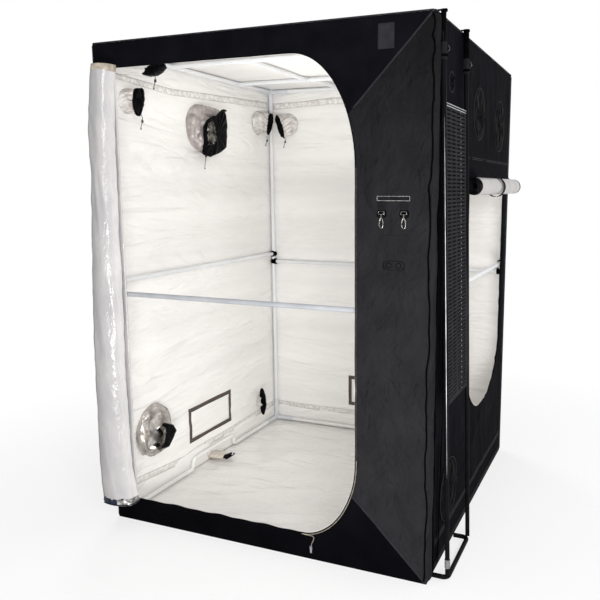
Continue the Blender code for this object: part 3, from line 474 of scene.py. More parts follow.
tent = {"half": 0.75, "cloth": 0.003, "inner": 0.7467}
walls = {
    "front": {"corner": (-0.75, -0.75, 0), "across": (1, 0, 0), "up": (0, 0, 1), "out": (0, -1, 0),
              "size": (1.5, 2.1267), "middle": tent["half"], "crease": (0.13, 0.24),
              "cell": 0.014, "seed": 3,
              "folds": [(0.05, 2.03, 0.07, 2.12, 0.008, -0.003), (0.095, 2.03, 0.10, 2.12, 0.008, -0.003),
                        (1.25, 1.36, 1.45, 1.40, 0.02, 0.002), (1.24, 0.62, 1.46, 0.52, 0.03, 0.004),
                        (1.22, 0.75, 1.42, 0.78, 0.04, -0.004), (1.28, 0.20, 1.44, 0.50, 0.02, -0.003),
                        (1.30, 1.75, 1.44, 1.60, 0.02, 0.003), (1.25, 0.98, 1.45, 0.86, 0.03, 0.002),
                        (1.33, 1.20, 1.36, 0.80, 0.03, 0.0025)]},
    "rear": {"corner": (-0.75, 0.75, 0), "across": (1, 0, 0), "up": (0, 0, 1), "out": (0, 1, 0),
             "size": (1.5, 2.1267), "middle": tent["half"], "crease": (0.3, 0.085),
             "cell": 0.02, "seed": 5,
             "folds": [(0.1, 1.62, 1.5, 1.60, 0.03, 0.007), (0.0, 1.47, 1.5, 1.45, 0.035, 0.008),
                       (0.1, 1.33, 0.9, 1.30, 0.03, 0.007), (0.2, 1.20, 1.4, 1.17, 0.03, 0.007),
                       (0.0, 0.90, 1.5, 0.88, 0.04, 0.008), (0.0, 0.72, 1.5, 0.70, 0.035, 0.007),
                       (0.3, 1.75, 0.8, 1.40, 0.02, 0.004), (0.5, 1.30, 0.9, 1.10, 0.02, 0.005),
                       (1.0, 0.60, 1.4, 0.30, 0.03, 0.005)]},
    "left": {"corner": (-0.75, -0.7467, 0), "across": (0, 1, 0), "up": (0, 0, 1), "out": (-1, 0, 0),
             "size": (1.4934, 2.1267), "middle": tent["inner"], "crease": (0.34, 0.08),
             "cell": 0.02, "seed": 7,
             "folds": [(0.0, 1.50, 1.45, 1.53, 0.03, 0.009), (0.0, 1.38, 1.45, 1.41, 0.05, 0.008),
                       (0.0, 1.22, 1.45, 1.20, 0.03, 0.008), (0.2, 0.93, 1.45, 0.96, 0.04, 0.008),
                       (0.1, 0.78, 1.40, 0.83, 0.03, 0.008), (0.3, 0.60, 1.3, 0.66, 0.04, 0.007),
                       (0.9, 1.70, 1.3, 1.45, 0.02, 0.004), (0.15, 1.75, 0.5, 1.55, 0.02, 0.004)]},
    "right": {"corner": (0.75, -0.7467, 0), "across": (0, 1, 0), "up": (0, 0, 1), "out": (1, 0, 0),
              "size": (1.4934, 2.1267), "middle": tent["inner"], "crease": (0.12, 0.3),
              "cell": 0.016, "seed": 11,
              "folds": [(0.2, 0.62, 0.5, 0.50, 0.03, 0.003), (1.0, 0.30, 1.45, 0.20, 0.04, -0.004),
                        (0.6, 0.25, 0.9, 0.40, 0.03, 0.003), (0.3, 1.95, 1.4, 2.0, 0.04, -0.002),
                        (1.40, 0.5, 1.43, 1.3, 0.02, 0.003), (0.5, 1.70, 0.55, 2.0, 0.02, 0.002)]},
    "roof": {"corner": (-0.75, -0.75, 2.13), "across": (1, 0, 0), "up": (0, 1, 0), "out": (0, 0, 1),
             "size": (1.5, 1.5), "middle": tent["half"], "crease": (0.3, 0.2),
             "cell": 0.03, "seed": 13,
             "folds": [(0.1, 0.5, 1.4, 0.52, 0.03, -0.003), (0.1, 1.0, 1.4, 1.05, 0.04, -0.003)]}}


def wallLift(wall, a, b):  # how far the cloth stands out of its plane, dying out at the poles
    width, height = wall["size"]
    edge = np.minimum(np.minimum(a, width - a), np.minimum(b, height - b))
    fade = np.clip(edge / 0.07, 0, 1) ** 1.5
    if wall["out"] == (0, -1, 0):  # flat under the rolled door
        fade = fade * smoothStep((a - 0.11) / 0.12)
    lift = 1.5 * creaseLines(a, b, wall["folds"]) + 0.0030 * softNoise(a, b, (0.30, 0.22), wall["seed"])
    lift += 0.0024 * sharpNoise(a * 0.97 + b * 0.26, b * 0.97 - a * 0.26, wall["crease"], wall["seed"] + 1)
    lift += 0.0010 * softNoise(a, b, (0.05, 0.04), wall["seed"] + 2)
    if wall["up"][2]:  # the tray's rim holds the foot of each wall
        fade = fade * smoothStep(b / 0.22)
    return np.maximum(lift * fade, -0.0042)


def wallPoints(wall, a, b, depth=0.0):  # points on the wall, depth metres out of the cloth's outer face
    a, b = np.asarray(a, float), np.asarray(b, float)
    lift = wallLift(wall, a, b) + depth
    corner, across, up, out = (np.array(wall[k], float) for k in ("corner", "across", "up", "out"))
    return corner + a[..., None] * across + b[..., None] * up + lift[..., None] * out


def clothWall(name, wall, finish, replaced, cut=None):
    a, b = np.meshgrid(*(np.linspace(0, length, round(length / wall["cell"]) + 1) for length in wall["size"]))
    count = a.size
    index = np.arange(count).reshape(a.shape)
    quads = np.stack([index[:-1, :-1], index[:-1, 1:], index[1:, 1:], index[1:, :-1]], axis=-1).reshape(-1, 4)
    ring = np.concatenate([index[0, :-1], index[:-1, -1], index[-1, :0:-1], index[:0:-1, 0]])
    after = np.roll(ring, -1)
    faces = np.concatenate([quads, quads[:, ::-1] + count,
                            np.column_stack([ring, after, after + count, ring + count])])
    points = np.concatenate([wallPoints(wall, a, b, depth).reshape(-1, 3) for depth in (0.0, -tent["cloth"])])
    piece = putPiece(name, closeMesh(meshOf(points.tolist(), faces.tolist())), finish, None, smooth=False)
    if cut:
        corner, out = np.array(wall["corner"], float), np.array(wall["out"], float)
        ends = []
        for depth in (-0.05, 0.05):  # a straight cutter, whatever the folds are
            points = wallPoints(wall, *np.array(cut).T, depth)
            ends.append(points - ((points - corner) @ out - depth)[:, None] * out)
        n = len(cut)
        faces = [list(range(n)), list(range(n, 2 * n))]
        faces += [(k, (k + 1) % n, (k + 1) % n + n, k + n) for k in range(n)]
        cutter = newObject("cutter", closeMesh(meshOf(np.concatenate(ends).tolist(), faces)))
        step = piece.modifiers.new("opening", "BOOLEAN")
        step.operation, step.solver, step.object = "DIFFERENCE", "EXACT", cutter
        applyModifiers(piece)
        bpy.data.objects.remove(cutter)
    for polygon in piece.data.polygons:
        side = polygon.normal.dot(Vector(wall["out"]))
        polygon.material_index = 0 if side > 0.4 else 1 if side < -0.4 else 2
    piece.data.shade_smooth()
    piece.data.set_sharp_from_angle(angle=math.radians(50))
    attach(piece, "tent")
    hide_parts(replaced)
    return piece


doorway = {"left": -0.642, "right": 0.452, "bottom": 0.112, "top": 2.023, "upper": (0.26, 0.42),
           "lower": (0.24, 0.35)}


def doorwayOutline(grow=0.0):
    d = doorway
    (wide, tall), (low, lowTall) = d["upper"], d["lower"]
    upper = quarterArc((d["right"] - wide, d["top"] - tall), wide + grow, tall + grow, 0)
    lower = quarterArc((d["right"] - low, d["bottom"] + lowTall), low + grow, lowTall + grow, 0.75)
    return [(d["left"] - grow, d["bottom"] - grow)] + lower + upper + [(d["left"] - grow, d["top"] + grow)]


outline = doorwayOutline()
sillWave = [(x, outline[0][1] + 0.003 * math.sin(x * 41) * math.sin(x * 13 + 1))
            for x in np.linspace(-0.6, 0.2, 60)]
frontCut = [(x + tent["half"], z) for x, z in [outline[0]] + sillWave + outline[1:]]
frontPanel = clothWall("frontPanel", walls["front"], "blackOxford whiteLining blackOxford crossOxford",
                       "front_panel", frontCut)
sideDoor = {"front": -0.19, "rear": 0.62, "bottom": 0.455, "top": 1.63, "curve": 0.36}


def hemOutline():  # the side doorway's hem, which wanders along its low rear edge
    s, curve = sideDoor, sideDoor["curve"]
    ends = (quarterArc((s["front"] + curve, s["bottom"] + curve), curve, curve, 0.5)
            + quarterArc((s["rear"] - curve, s["bottom"] + curve), curve, curve, 0.75)
            + [(s["rear"], s["top"]), (s["front"], s["top"])])
    ends = np.array(ends + ends[:1])
    length = np.concatenate([[0], np.cumsum(np.linalg.norm(np.diff(ends, axis=0), axis=1))])
    run = np.linspace(0, length[-1], 260)[:-1]
    points = np.column_stack([np.interp(run, length, ends[:, k]) for k in range(2)])
    ahead = np.roll(points, -1, axis=0) - points
    ahead /= np.linalg.norm(ahead, axis=1)[:, None]
    frayed = np.clip((1.25 - points[:, 1]) / 0.4, 0, 1) * np.clip((points[:, 0] - 0.1) / 0.3, 0, 1)
    sway = 0.010 * frayed * (0.8 + softNoise(run, run * 0, (0.09, 1), 97))
    sway = sway + 0.012 * frayed * sharpNoise(run, run * 0, (0.035, 1), 98)
    return [tuple(p) for p in points + sway[:, None] * np.column_stack([-ahead[:, 1], ahead[:, 0]])]


sideHem = hemOutline()
sideCut = [(y + tent["inner"], z) for y, z in sideHem]
rightWall = clothWall("rightWall", walls["right"], "sideOxford whiteLining sideOxford", "right_wall", sideCut)
vent = {"left": 0.005, "rear": -0.01, "bottom": 0.163, "width": 0.396, "height": 0.18, "border": 0.016}


def ventOutline(side, inset):
    middle, half = vent[side] + walls[side]["middle"], vent["width"] / 2
    a0, a1 = middle - half + inset, middle + half - inset
    b0, b1 = vent["bottom"] + inset, vent["bottom"] + vent["height"] - inset
    return [(a0, b0), (a1, b0), (a1, b1), (a0, b1)]


outer = "outerOxford whiteLining outerOxford"
leftWall = clothWall("leftWall", walls["left"], outer, "left_wall", ventOutline("left", 0.032))
rearWall = clothWall("rearWall", walls["rear"], outer, "rear_wall", ventOutline("rear", 0.032))
roofPanel = clothWall("roofPanel", walls["roof"], outer, "roof_panel")

# The front cover is cut in three: the jamb, and a header and sill that meet it in mitres.
mitres = {"upper": ((0.446, 1.814), (0.747, 2.129)), "lower": ((0.437, 0.306), (0.743, 0.005))}
bm = bmesh.new()
bm.from_mesh(frontPanel.data)
for (x0, z0), (x1, z1) in mitres.values():
    geometry = bm.verts[:] + bm.edges[:] + bm.faces[:]
    bmesh.ops.bisect_plane(bm, geom=geometry, plane_co=(x0, 0, z0), plane_no=(z1 - z0, 0, x0 - x1))
bm.to_mesh(frontPanel.data)
bm.free()


def mitreHeight(name, x):
    (x0, z0), (x1, z1) = mitres[name]
    return z0 + (x - x0) * (z1 - z0) / (x1 - x0)


# the header and sill take the darker oxford, painted shade
for polygon in frontPanel.data.polygons:
    x, _, z = polygon.center
    shadedStrip = z > max(1.6, mitreHeight("upper", x)) or z < min(0.5, mitreHeight("lower", x))
    polygon.material_index = 1 if polygon.normal.y > 0.4 else 3 if shadedStrip else 0

tray = {"box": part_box("floor_tray"), "cells": 180, "rise": 0.0075, "step": 0.02}


def trayMesh():  # the tray's film wrinkles on the floor
    (x0, y0, z0), (x1, y1, _) = tray["box"]
    a, b = np.meshgrid(np.linspace(x0, x1, tray["cells"] + 1), np.linspace(y0, y1, tray["cells"] + 1))
    edge = np.minimum.reduce([a - x0, x1 - a, b - y0, y1 - b])
    rise = tray["rise"] * np.clip((edge - 0.03) / 0.10, 0, 1)
    wide = sharpNoise(a * 0.94 + b * 0.34, b * 0.94 - a * 0.34, (0.46, 0.10), 21)
    fine = sharpNoise(a * 0.98 - b * 0.17, a * 0.17 + b * 0.98, (0.20, 0.05), 22)
    lift = 0.0012 + rise * (0.5 + 0.5 * wide) + 0.6 * rise * (0.5 + 0.5 * fine)
    return gridMesh(np.stack([a, b, z0 + lift], axis=-1), thick=0.0008)


def traySides():  # and turns up along the walls to its rim
    (x0, y0, z0), (x1, y1, z1) = tray["box"]
    path, step = [], tray["step"]
    corners = [(x0, y0), (x1, y0), (x1, y1), (x0, y1), (x0, y0)]
    for (ax, ay), (bx, by) in zip(corners, corners[1:]):
        count = round(max(abs(bx - ax), abs(by - ay)) / step)
        path += [(ax + (bx - ax) * k / count, ay + (by - ay) * k / count) for k in range(count)]
    path, run, rows = np.array(path), np.arange(len(path)) * step, []
    inwards = np.array([(x0 + x1) / 2, (y0 + y1) / 2]) - path
    inwards = np.clip(inwards / np.abs(inwards).max(axis=1, keepdims=True), -1, 1)
    for share in np.linspace(0, 1, 9):
        wave = 0.0022 * math.sin(share * math.pi) * (softNoise(run, run * 0 + share, (0.07, 0.4), 23) + 1)
        rise = (z1 - z0) * share + 0.006 * share * softNoise(run, run * 0, (0.11, 0.4), 24)
        rows.append(np.column_stack([path + inwards * (wave[:, None] + 0.0006), z0 + rise]))
    return gridMesh(rows, wrap=True, thick=0.0008, outward=-1)


trayFloor = putPiece("trayFloor", trayMesh(), "trayFilm", replaced=["floor_tray"])
trayWall = putPiece("traySides", traySides(), "whiteLining")
# every cloth with the size it was cut to, less its openings
posts = ["post_front_left", "post_front_right", "post_rear_left", "post_rear_right"]
for piece, flat, area, held, on in ((frontPanel, (1.5, 2.127), 1.14, "stretched", posts[:2]),
                                    (rightWall, (1.493, 2.127), 2.28, "stretched", posts[1::2]),
                                    (leftWall, (1.493, 2.127), 3.13, "stretched", posts[::2]),
                                    (rearWall, (1.5, 2.127), 3.15, "stretched", posts[2:]),
                                    (roofPanel, (1.5, 1.5), 2.25, "stretched",
                                     ["top_rail_front", "top_rail_rear"]),
                                    (trayFloor, (1.493, 1.493), 2.229, "laid",
                                     ["bottom_rail_front", "bottom_rail_rear"]),
                                    (trayWall, (5.97, 0.105), 0.626, "stretched",
                                     ["left_wall", "right_wall"])):
    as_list(on)
print("walls and tray made")


# Front door, rolled up against the left jamb, its lining outwards

frontRoll = {"z": (0.108, 0.28, 0.58, 0.85, 1.1, 1.35, 1.6, 1.77, 1.95, 2.03),
             "wide": (0.0915, 0.078, 0.0735, 0.0735, 0.070, 0.062, 0.052, 0.0585, 0.0525, 0.0485),
             "deep": (0.05, 0.05, 0.049, 0.047, 0.045, 0.045, 0.045, 0.045, 0.045, 0.045),
             "x": (-0.6975, -0.712, -0.7165, -0.7165, -0.712, -0.703, -0.692, -0.6925, -0.6745, -0.6615),
             "face": -0.7503, "turns": 4.35, "core": 0.36, "start": 0.66, "rows": 110, "perTurn": 56,
             "band": 0.026, "hem": 0.031, "zipFrom": -0.668, "cut": (1.10, 1.92)}
bottom, top = frontRoll["z"][0], frontRoll["z"][-1]


def frontRollPoints(z, turn, lift=0.0):  # turn 0 is the loose outer edge, and whole turns go inwards
    f = frontRoll
    wide, deep, middle = (np.interp(z, f["z"], f[k]) for k in ("wide", "deep", "x"))
    angle = math.tau * (f["start"] + turn)
    share = 1 - (1 - f["core"]) * turn / f["turns"]
    run = angle * 0.055
    outer = np.clip(1 - turn / 1.6, 0, 1)
    fade = np.clip((z - bottom) / 0.05, 0.25, 1) * np.clip((top - z) / 0.05, 0.25, 1)
    wrinkle = 0.0024 * softNoise(run, z, (0.034, 0.30), 31)
    wrinkle += 0.0022 * sharpNoise(run * 0.94 + z * 0.10, z * 0.9 - run, (0.03, 0.26), 32)
    wrinkle += 0.0016 * sharpNoise(run + z * 0.5, z - run * 0.4, (0.05, 0.09), 33)
    grow = (wrinkle - 0.0016) * outer * fade + lift
    back, side = np.clip(np.sin(angle), 0, 1), np.cos(angle)
    # pressed flat against the wall, and square where it meets the jamb
    side = np.where((side > 0) & (back > 0), np.abs(side) ** 0.25 * (1 + 0.14 * back), side)
    y = f["face"] - deep + (deep * share + grow) * np.sin(angle) * (1 - 0.08 * back)
    return np.stack([middle + (wide * share + grow) * side, y, z + 0 * angle], axis=-1)


def frontRollMesh():
    f = frontRoll
    spans = ((bottom, top, f["rows"]), (bottom, bottom + f["hem"] * 1.5, 10),
             (top - f["band"] * 1.5, top, 12))
    z = np.unique(np.concatenate([np.linspace(*span) for span in spans]))
    turn, z = np.meshgrid(np.linspace(0, f["turns"], round(f["perTurn"] * f["turns"])), z)
    return gridMesh(frontRollPoints(z, turn), thick=0.0011)


finish = "rollFilm blackOxford beigeTape navyTape crushedEdge"
rollPiece = putPiece("frontRoll", frontRollMesh(), finish, "front_door", ["front_door_roll"], "lining")
for polygon in rollPiece.data.polygons:
    height = polygon.center.z + 0.003 * math.sin(polygon.center.x * 70)
    if height > top - frontRoll["band"]:
        polygon.material_index = 2
    elif height < bottom + frontRoll["hem"]:
        polygon.material_index = 4 if polygon.center.x > frontRoll["zipFrom"] else 3

curtain = {"from": -0.724, "to": -0.696, "travel": 1.1, "y": -0.7532, "columns": 49, "rows": 60}


def curtainMesh():
    # the strip between the jamb and the roll: it draws out over the doorway as the roll runs across
    x0, wide, d, rows = curtain["from"], curtain["to"] - curtain["from"], doorway, []

    def curved(reach, corner):  # how far the doorway's edge has curved in where the cloth will hang
        past = reach - (d["right"] - corner[0])
        return corner[1] * (1 - math.sqrt(max(0.0, 1 - min(1.0, past / corner[0]) ** 2))) if past > 0 else 0.0
    for up in np.linspace(0, 1, curtain["rows"]):
        line = []
        for share in np.linspace(0, 1, curtain["columns"]):
            reach = x0 + wide * share + curtain["travel"] * smoothStep(share)
            low = d["bottom"] + curved(reach, d["lower"]) - 0.004
            high = d["top"] - curved(reach, d["upper"]) + 0.004
            z = low + (high - low) * up
            y = curtain["y"] - 0.0006 * math.sin(7 * z) * math.sin(math.pi * share)
            line.append((x0 + wide * share, y, z))
        rows.append(line)
    return gridMesh(rows, thick=0.0009)


frontCurtain = putPiece("frontCurtain", curtainMesh(), "blackOxford whiteLining", None, slot="cover")
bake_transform(frontCurtain)


def jambMesh():  # the white edge of the lining, folded out round the jamb to the roll
    z = np.linspace(doorway["bottom"] + 0.002, doorway["top"] - 0.002, 160)
    rows = []
    for x, depth in ((-0.696, 0.0008), (-0.686, 0.0012), (-0.677, 0.0014), (-0.668, 0.0016), (-0.659, 0.0016),
                     (-0.651, 0.0014), (-0.644, 0.0012), (-0.6406, 0.0004), (-0.6404, -0.0045)):
        wave = np.abs(0.0006 * softNoise(z, z * 0 + x * 30, (0.06, 0.3), 36)) * (depth > 0.0005)
        rows.append(wallPoints(walls["front"], x + tent["half"] + 0 * z, z, depth + wave))
    return gridMesh(rows, thick=0.0005)


jambLining = putPiece("jambLining", jambMesh(), "rollFilm", slot="lining")


def rollEdge(z, low, high, lift, count=80):  # a line round the roll's outer turn
    return frontRollPoints(np.full(count, z), np.linspace(low, high, count), lift)


def tube(name, route, radii, finish, sides=8, closed=False, body="tent", slot=None):
    return putPiece(name, sweptMesh(route, radii, sides, closed), finish, body, slot=slot)


def boxes(name, around, finish, body="tent", slot=None):
    return putPiece(name, boxMesh(around), finish, body, slot=slot, smooth=False)


tooth = np.array((0.0016, 0.0016, 0.003))
line = [p for p in rollEdge(bottom + 0.006, 0.30, 0.98, 0.0012, 74) if p[0] > frontRoll["zipFrom"]]
boxes("rollZipTeeth", [(p - tooth, p + tooth) for p in line], "brightSteel", "front_door")
tube("rollHemPiping", rollEdge(bottom + 0.004, 0.0, 1.0, 0.001), 0.0022, "blackWebbing", body="front_door")
print("front door made")


# Side door, rolled up under its doorway's head

sideRoll = {"front": (0.7928, -0.285), "rear": (0.8068, 0.605), "z": 1.531, "radius": 0.0425, "turns": 4.2,
            "core": 0.34,
            "start": 0.42, "perTurn": 48, "columns": 76, "binding": 0.012, "cut": (0.83, 0.9)}
rollStrap = {"y": 0.15, "wide": 0.048, "slack": 0.004}
(rollX, rollY), (rollRise, rollLength) = sideRoll["front"], np.subtract(sideRoll["rear"], sideRoll["front"])


def sideRollMesh():
    f = sideRoll
    turn, along = np.meshgrid(np.linspace(0, f["turns"], round(f["perTurn"] * f["turns"])),
                              np.linspace(0, 1, f["columns"]))
    angle = -math.tau * (f["start"] + turn)
    y = rollY + rollLength * along
    run = angle * 0.04
    wrinkle = 0.0010 * sharpNoise(y, run, (0.06, 0.028), 41)
    wrinkle += 0.0010 * softNoise(y + run, run, (0.12, 0.03), 42)
    pinch = 0.0022 * np.exp(-((y - rollStrap["y"]) / 0.025) ** 2) * np.clip(1.4 - turn, 0, 1)
    share = 1 - (1 - f["core"]) * turn / f["turns"]
    radius = f["radius"] * share - 0.0016 + wrinkle * np.clip(1 - turn, 0, 1) - pinch
    x = rollX + rollRise * along
    return gridMesh(np.stack([x + radius * np.cos(angle), y, f["z"] + radius * np.sin(angle)], axis=-1),
                    thick=0.0011)


finish = "sideFilm blackOxford blackWebbing"
sidePiece = putPiece("sideRoll", sideRollMesh(), finish, "side_door", ["side_door_roll"], "lining")
for polygon in sidePiece.data.polygons:
    if min(polygon.center.y - rollY, 0.6 * (sideRoll["rear"][1] - polygon.center.y)) < sideRoll["binding"]:
        polygon.material_index = 2
y = np.linspace(sideDoor["front"] - 0.07, sideDoor["rear"] + 0.014, 60)
ends = smoothStep((y - y[0]) / 0.09) * smoothStep((y[-1] - y) / 0.05)
rows = []
for share in np.linspace(0, 1, 16):  # the flap that joins the roll to the wall over the doorway
    x = 0.7545 + 0.044 * share ** 1.8 * (0.12 + 0.88 * ends) + 0.0016 * np.sin(y * 31 + share) * share
    rows.append(np.column_stack([x, y, 1.645 - share * 0.085 + 0 * y]))
sideFlap = putPiece("sideFlap", gridMesh(rows, thick=0.001, outward=-1), "sideOxford whiteLining", None,
                    slot="cover")
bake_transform(sideFlap)
angle = np.linspace(math.radians(-72), math.radians(214), 60)
radius = sideRoll["radius"] + 0.0012 + rollStrap["slack"] * np.exp(-((angle - 0.25) / 0.8) ** 2)
x = rollX + rollRise * (rollStrap["y"] - rollY) / rollLength + radius * np.sin(angle)
rows = [np.column_stack([x, 0 * angle + rollStrap["y"] + across * rollStrap["wide"], sideRoll["z"]
                         - radius * np.cos(angle)])
        for across in np.linspace(-0.5, 0.5, 5)]  # a loop of webbing round the roll, slack below it
strap = gridMesh(rows, thick=0.0013, outward=-1)
putPiece("rollStrap", strap, "blackWebbing", "side_door", ["side_roll_strap"], "webbing")
print("side door made")


# Duct sleeves: a silver collar drawn in to a black cinched end

def outlineRing(outline, count):
    # the closed outline in mm, from its highest corner, anticlockwise, with every corner kept
    q = np.array(outline, float) / 1000
    area = np.sum(q[:, 0] * np.roll(q[:, 1], -1) - np.roll(q[:, 0], -1) * q[:, 1])
    q = q if area > 0 else q[::-1]
    q = np.roll(q, -int(np.argmax(q[:, 1])), axis=0)
    closed = np.vstack([q, q[:1]])
    run = np.concatenate([[0], np.cumsum(np.linalg.norm(np.diff(closed, axis=0), axis=1))])
    at = np.linspace(0, run[-1], count, endpoint=False)
    for corner in run[:-1]:
        nearest = int(np.argmin(np.abs(at - corner)))
        at[nearest] = corner
    return np.column_stack([np.interp(at, run, closed[:, k]) for k in (0, 1)])


def circle(radius, side=0, up=0):  # an outline in mm
    angles = np.linspace(0, math.tau, 20, endpoint=False)
    return [(side - radius * math.sin(t), up + radius * math.cos(t)) for t in angles]


def pouch(name, finish, on, at, rings, fold, crush, ridge, seed, closed, replaced=(), columns=34, sharp=0.4,
          fine=0.0009,
          pleated=0.8):
    # rings of (distance from the wall in mm, outline in mm, scale): a skin lofted over them, folded lengthwise
    random = np.random.default_rng(seed)
    o, (n, s, u) = np.array(at, float), (np.array(v, float) for v in inward[on])
    folds = random.uniform(-1, 1, columns)
    pleats = np.where(np.arange(columns) % 2, 1, -1) * random.uniform(0.25, 1, columns)
    grid = []
    for index, (away, outline, scale) in enumerate(rings):
        share = index / (len(rings) - 1)
        ring = outlineRing(outline, columns)
        middle = ring.mean(axis=0)
        shift = folds
        if index > 1:
            shift = 0.7 * np.roll(folds, index // 2) + 0.3 * random.uniform(-1, 1, columns)
        shift = pleated * np.roll(pleats, index // 3) + (1 - pleated) * shift
        held = 0 if index == 0 and not closed else 1
        ring = middle + (ring - middle) * scale * (1 + held * fold * shift[:, None] * (0.35 + share))
        crumple = pleated * np.roll(pleats, index // 3) + (1 - pleated) * random.uniform(-1, 1, columns)
        push = away / 1000 + held * crush * crumple * (0.4 + share)
        grid.append(o + n * np.maximum(push, 0.001)[:, None] + s * ring[:, :1] + u * ring[:, 1:])
    if closed:
        last, middle = grid[-1], grid[-1].mean(axis=0)
        for k in (0.7, 0.35, 0.06):
            push = random.uniform(-1, 1, (columns, 1)) * crush * k + 0.002
            grid.append(middle + (last - middle) * k + n * push)
        middle = grid[0].mean(axis=0)
        grid = [middle + (grid[0] - middle) * k for k in (0.06, 0.6)] + grid
    mesh = gridMesh(grid, wrap=True)
    crease = mesh.attributes.new("crease_edge", "FLOAT", "EDGE")  # part of the edges stay as sharp folds
    ends = np.zeros(len(mesh.edges) * 2, int)
    mesh.edges.foreach_get("vertices", ends)
    along = np.abs(ends[::2] - ends[1::2]) == columns
    keen = random.uniform(0.3, 1.0, columns)[np.minimum(ends[::2], ends[1::2]) % columns]
    level = np.where(random.uniform(0, 1, len(along)) < (0.2 if pleated > 0.2 else 0.8), 0.8, 0.0)
    value = np.where(along, np.where(keen > 1 - sharp, 0.5 + 0.5 * keen, 0.0), level)
    crease.data.foreach_set("value", value.astype(np.float32))
    shape = newObject(name, mesh)
    step = shape.modifiers.new("folds", "SUBSURF")
    step.levels = step.render_levels = 2
    applyModifiers(shape)
    mesh = shape.data
    bpy.data.objects.remove(shape)
    points, normals = np.zeros(len(mesh.vertices) * 3), np.zeros(len(mesh.vertices) * 3)
    mesh.vertices.foreach_get("co", points)
    mesh.vertex_normals.foreach_get("vector", normals)
    points = points.reshape(-1, 3)
    away = (points - o) @ n
    lift = fine * sharpNoise(points @ s + away, points @ u - away, (0.016, 0.026), seed + 5)
    lift += ridge * sharpNoise(points @ s, 0.16 * (points @ u), (0.011, 0.02), seed + 8)
    points += normals.reshape(-1, 3) * (lift * np.clip((away - 0.004) / 0.01, 0, 1))[:, None]
    mesh.vertices.foreach_set("co", points.ravel())
    mesh.update()
    return putPiece(name, mesh, finish, "tent", replaced, "sleeve_black" if closed else "sleeve")


# the way a sleeve points, and the two ways across it
inward = {"left": ((1, 0, 0), (0, 1, 0), (0, 0, 1)), "rear": ((0, -1, 0), (1, 0, 0), (0, 0, 1)),
          "roof": ((0, 0, -1), (1, 0, 0), (0, 1, 0)), "leftOut": ((-1, 0, 0), (0, 1, 0), (0, 0, 1)),
          "rearOut": ((0, 1, 0), (1, 0, 0), (0, 0, 1))}

# the large sleeve: a shallow dome, then a flat bag with a rolled hem and the film turned out at its mouth
largeBag = [(82, 90), (100, 98), (120, 96), (129, 77), (138, 30), (131, -32), (123, -99), (58, -131),
            (-26, -154), (-90, -146),
            (-92, -130), (-72, -92), (-71, -46), (-70, 0), (-47, 31), (-1, 54), (29, 55), (61, 76)]
largeRim = [(6, 120), (46, 112), (88, 96), (118, 60), (122, 0), (110, -66), (60, -118), (-10, -128),
            (-66, -122), (-92, -84),
            (-116, -40), (-117, 10), (-98, 62), (-52, 106)]
smallBag = [(-4, 52), (40, 60), (44, 12), (38, -23), (17, -50), (12, -66), (-4, -64), (-19, -34), (-21, -5),
            (-10, 35)]
smallRim = [(-30, 44), (14, 56), (24, 10), (10, -56), (-34, -46)]
cornerBag = [(66, 60), (84, 54), (76, 5), (52, -44), (28, -72), (20, -56), (36, 0), (52, 50)]
cornerRim = [(-30, 56), (58, 62), (50, 0), (26, -64), (-44, -58)]
rearBag = [(-52, 54), (-38, 42), (-18, -6), (-6, -50), (-4, -84), (-20, -78), (-36, -52), (-52, 0), (-62, 34)]
rearRim = [(-56, 60), (36, 50), (44, -60), (-26, -66), (-52, 0)]
lowBag = [(-12, 50), (52, 20), (76, -18), (42, -56), (10, -84), (-52, -72), (-84, -46), (-64, -38),
          (-40, -16), (-41, 3),
          (-60, 28), (-38, 42)]
lowFoil = [(-14, 140), (14, 126), (46, 122), (66, 84), (56, 58), (82, 22), (60, -52), (18, -100), (-20, -92),
           (-44, -112),
           (-84, -92), (-118, -84), (-128, -30), (-138, 30), (-96, 108), (-50, 132)]
lowFold = [(-10, 104), (24, 84), (62, 60), (76, 10), (50, -66), (0, -96), (-60, -96), (-100, -60), (-112, 0),
           (-96, 56), (-50, 92)]
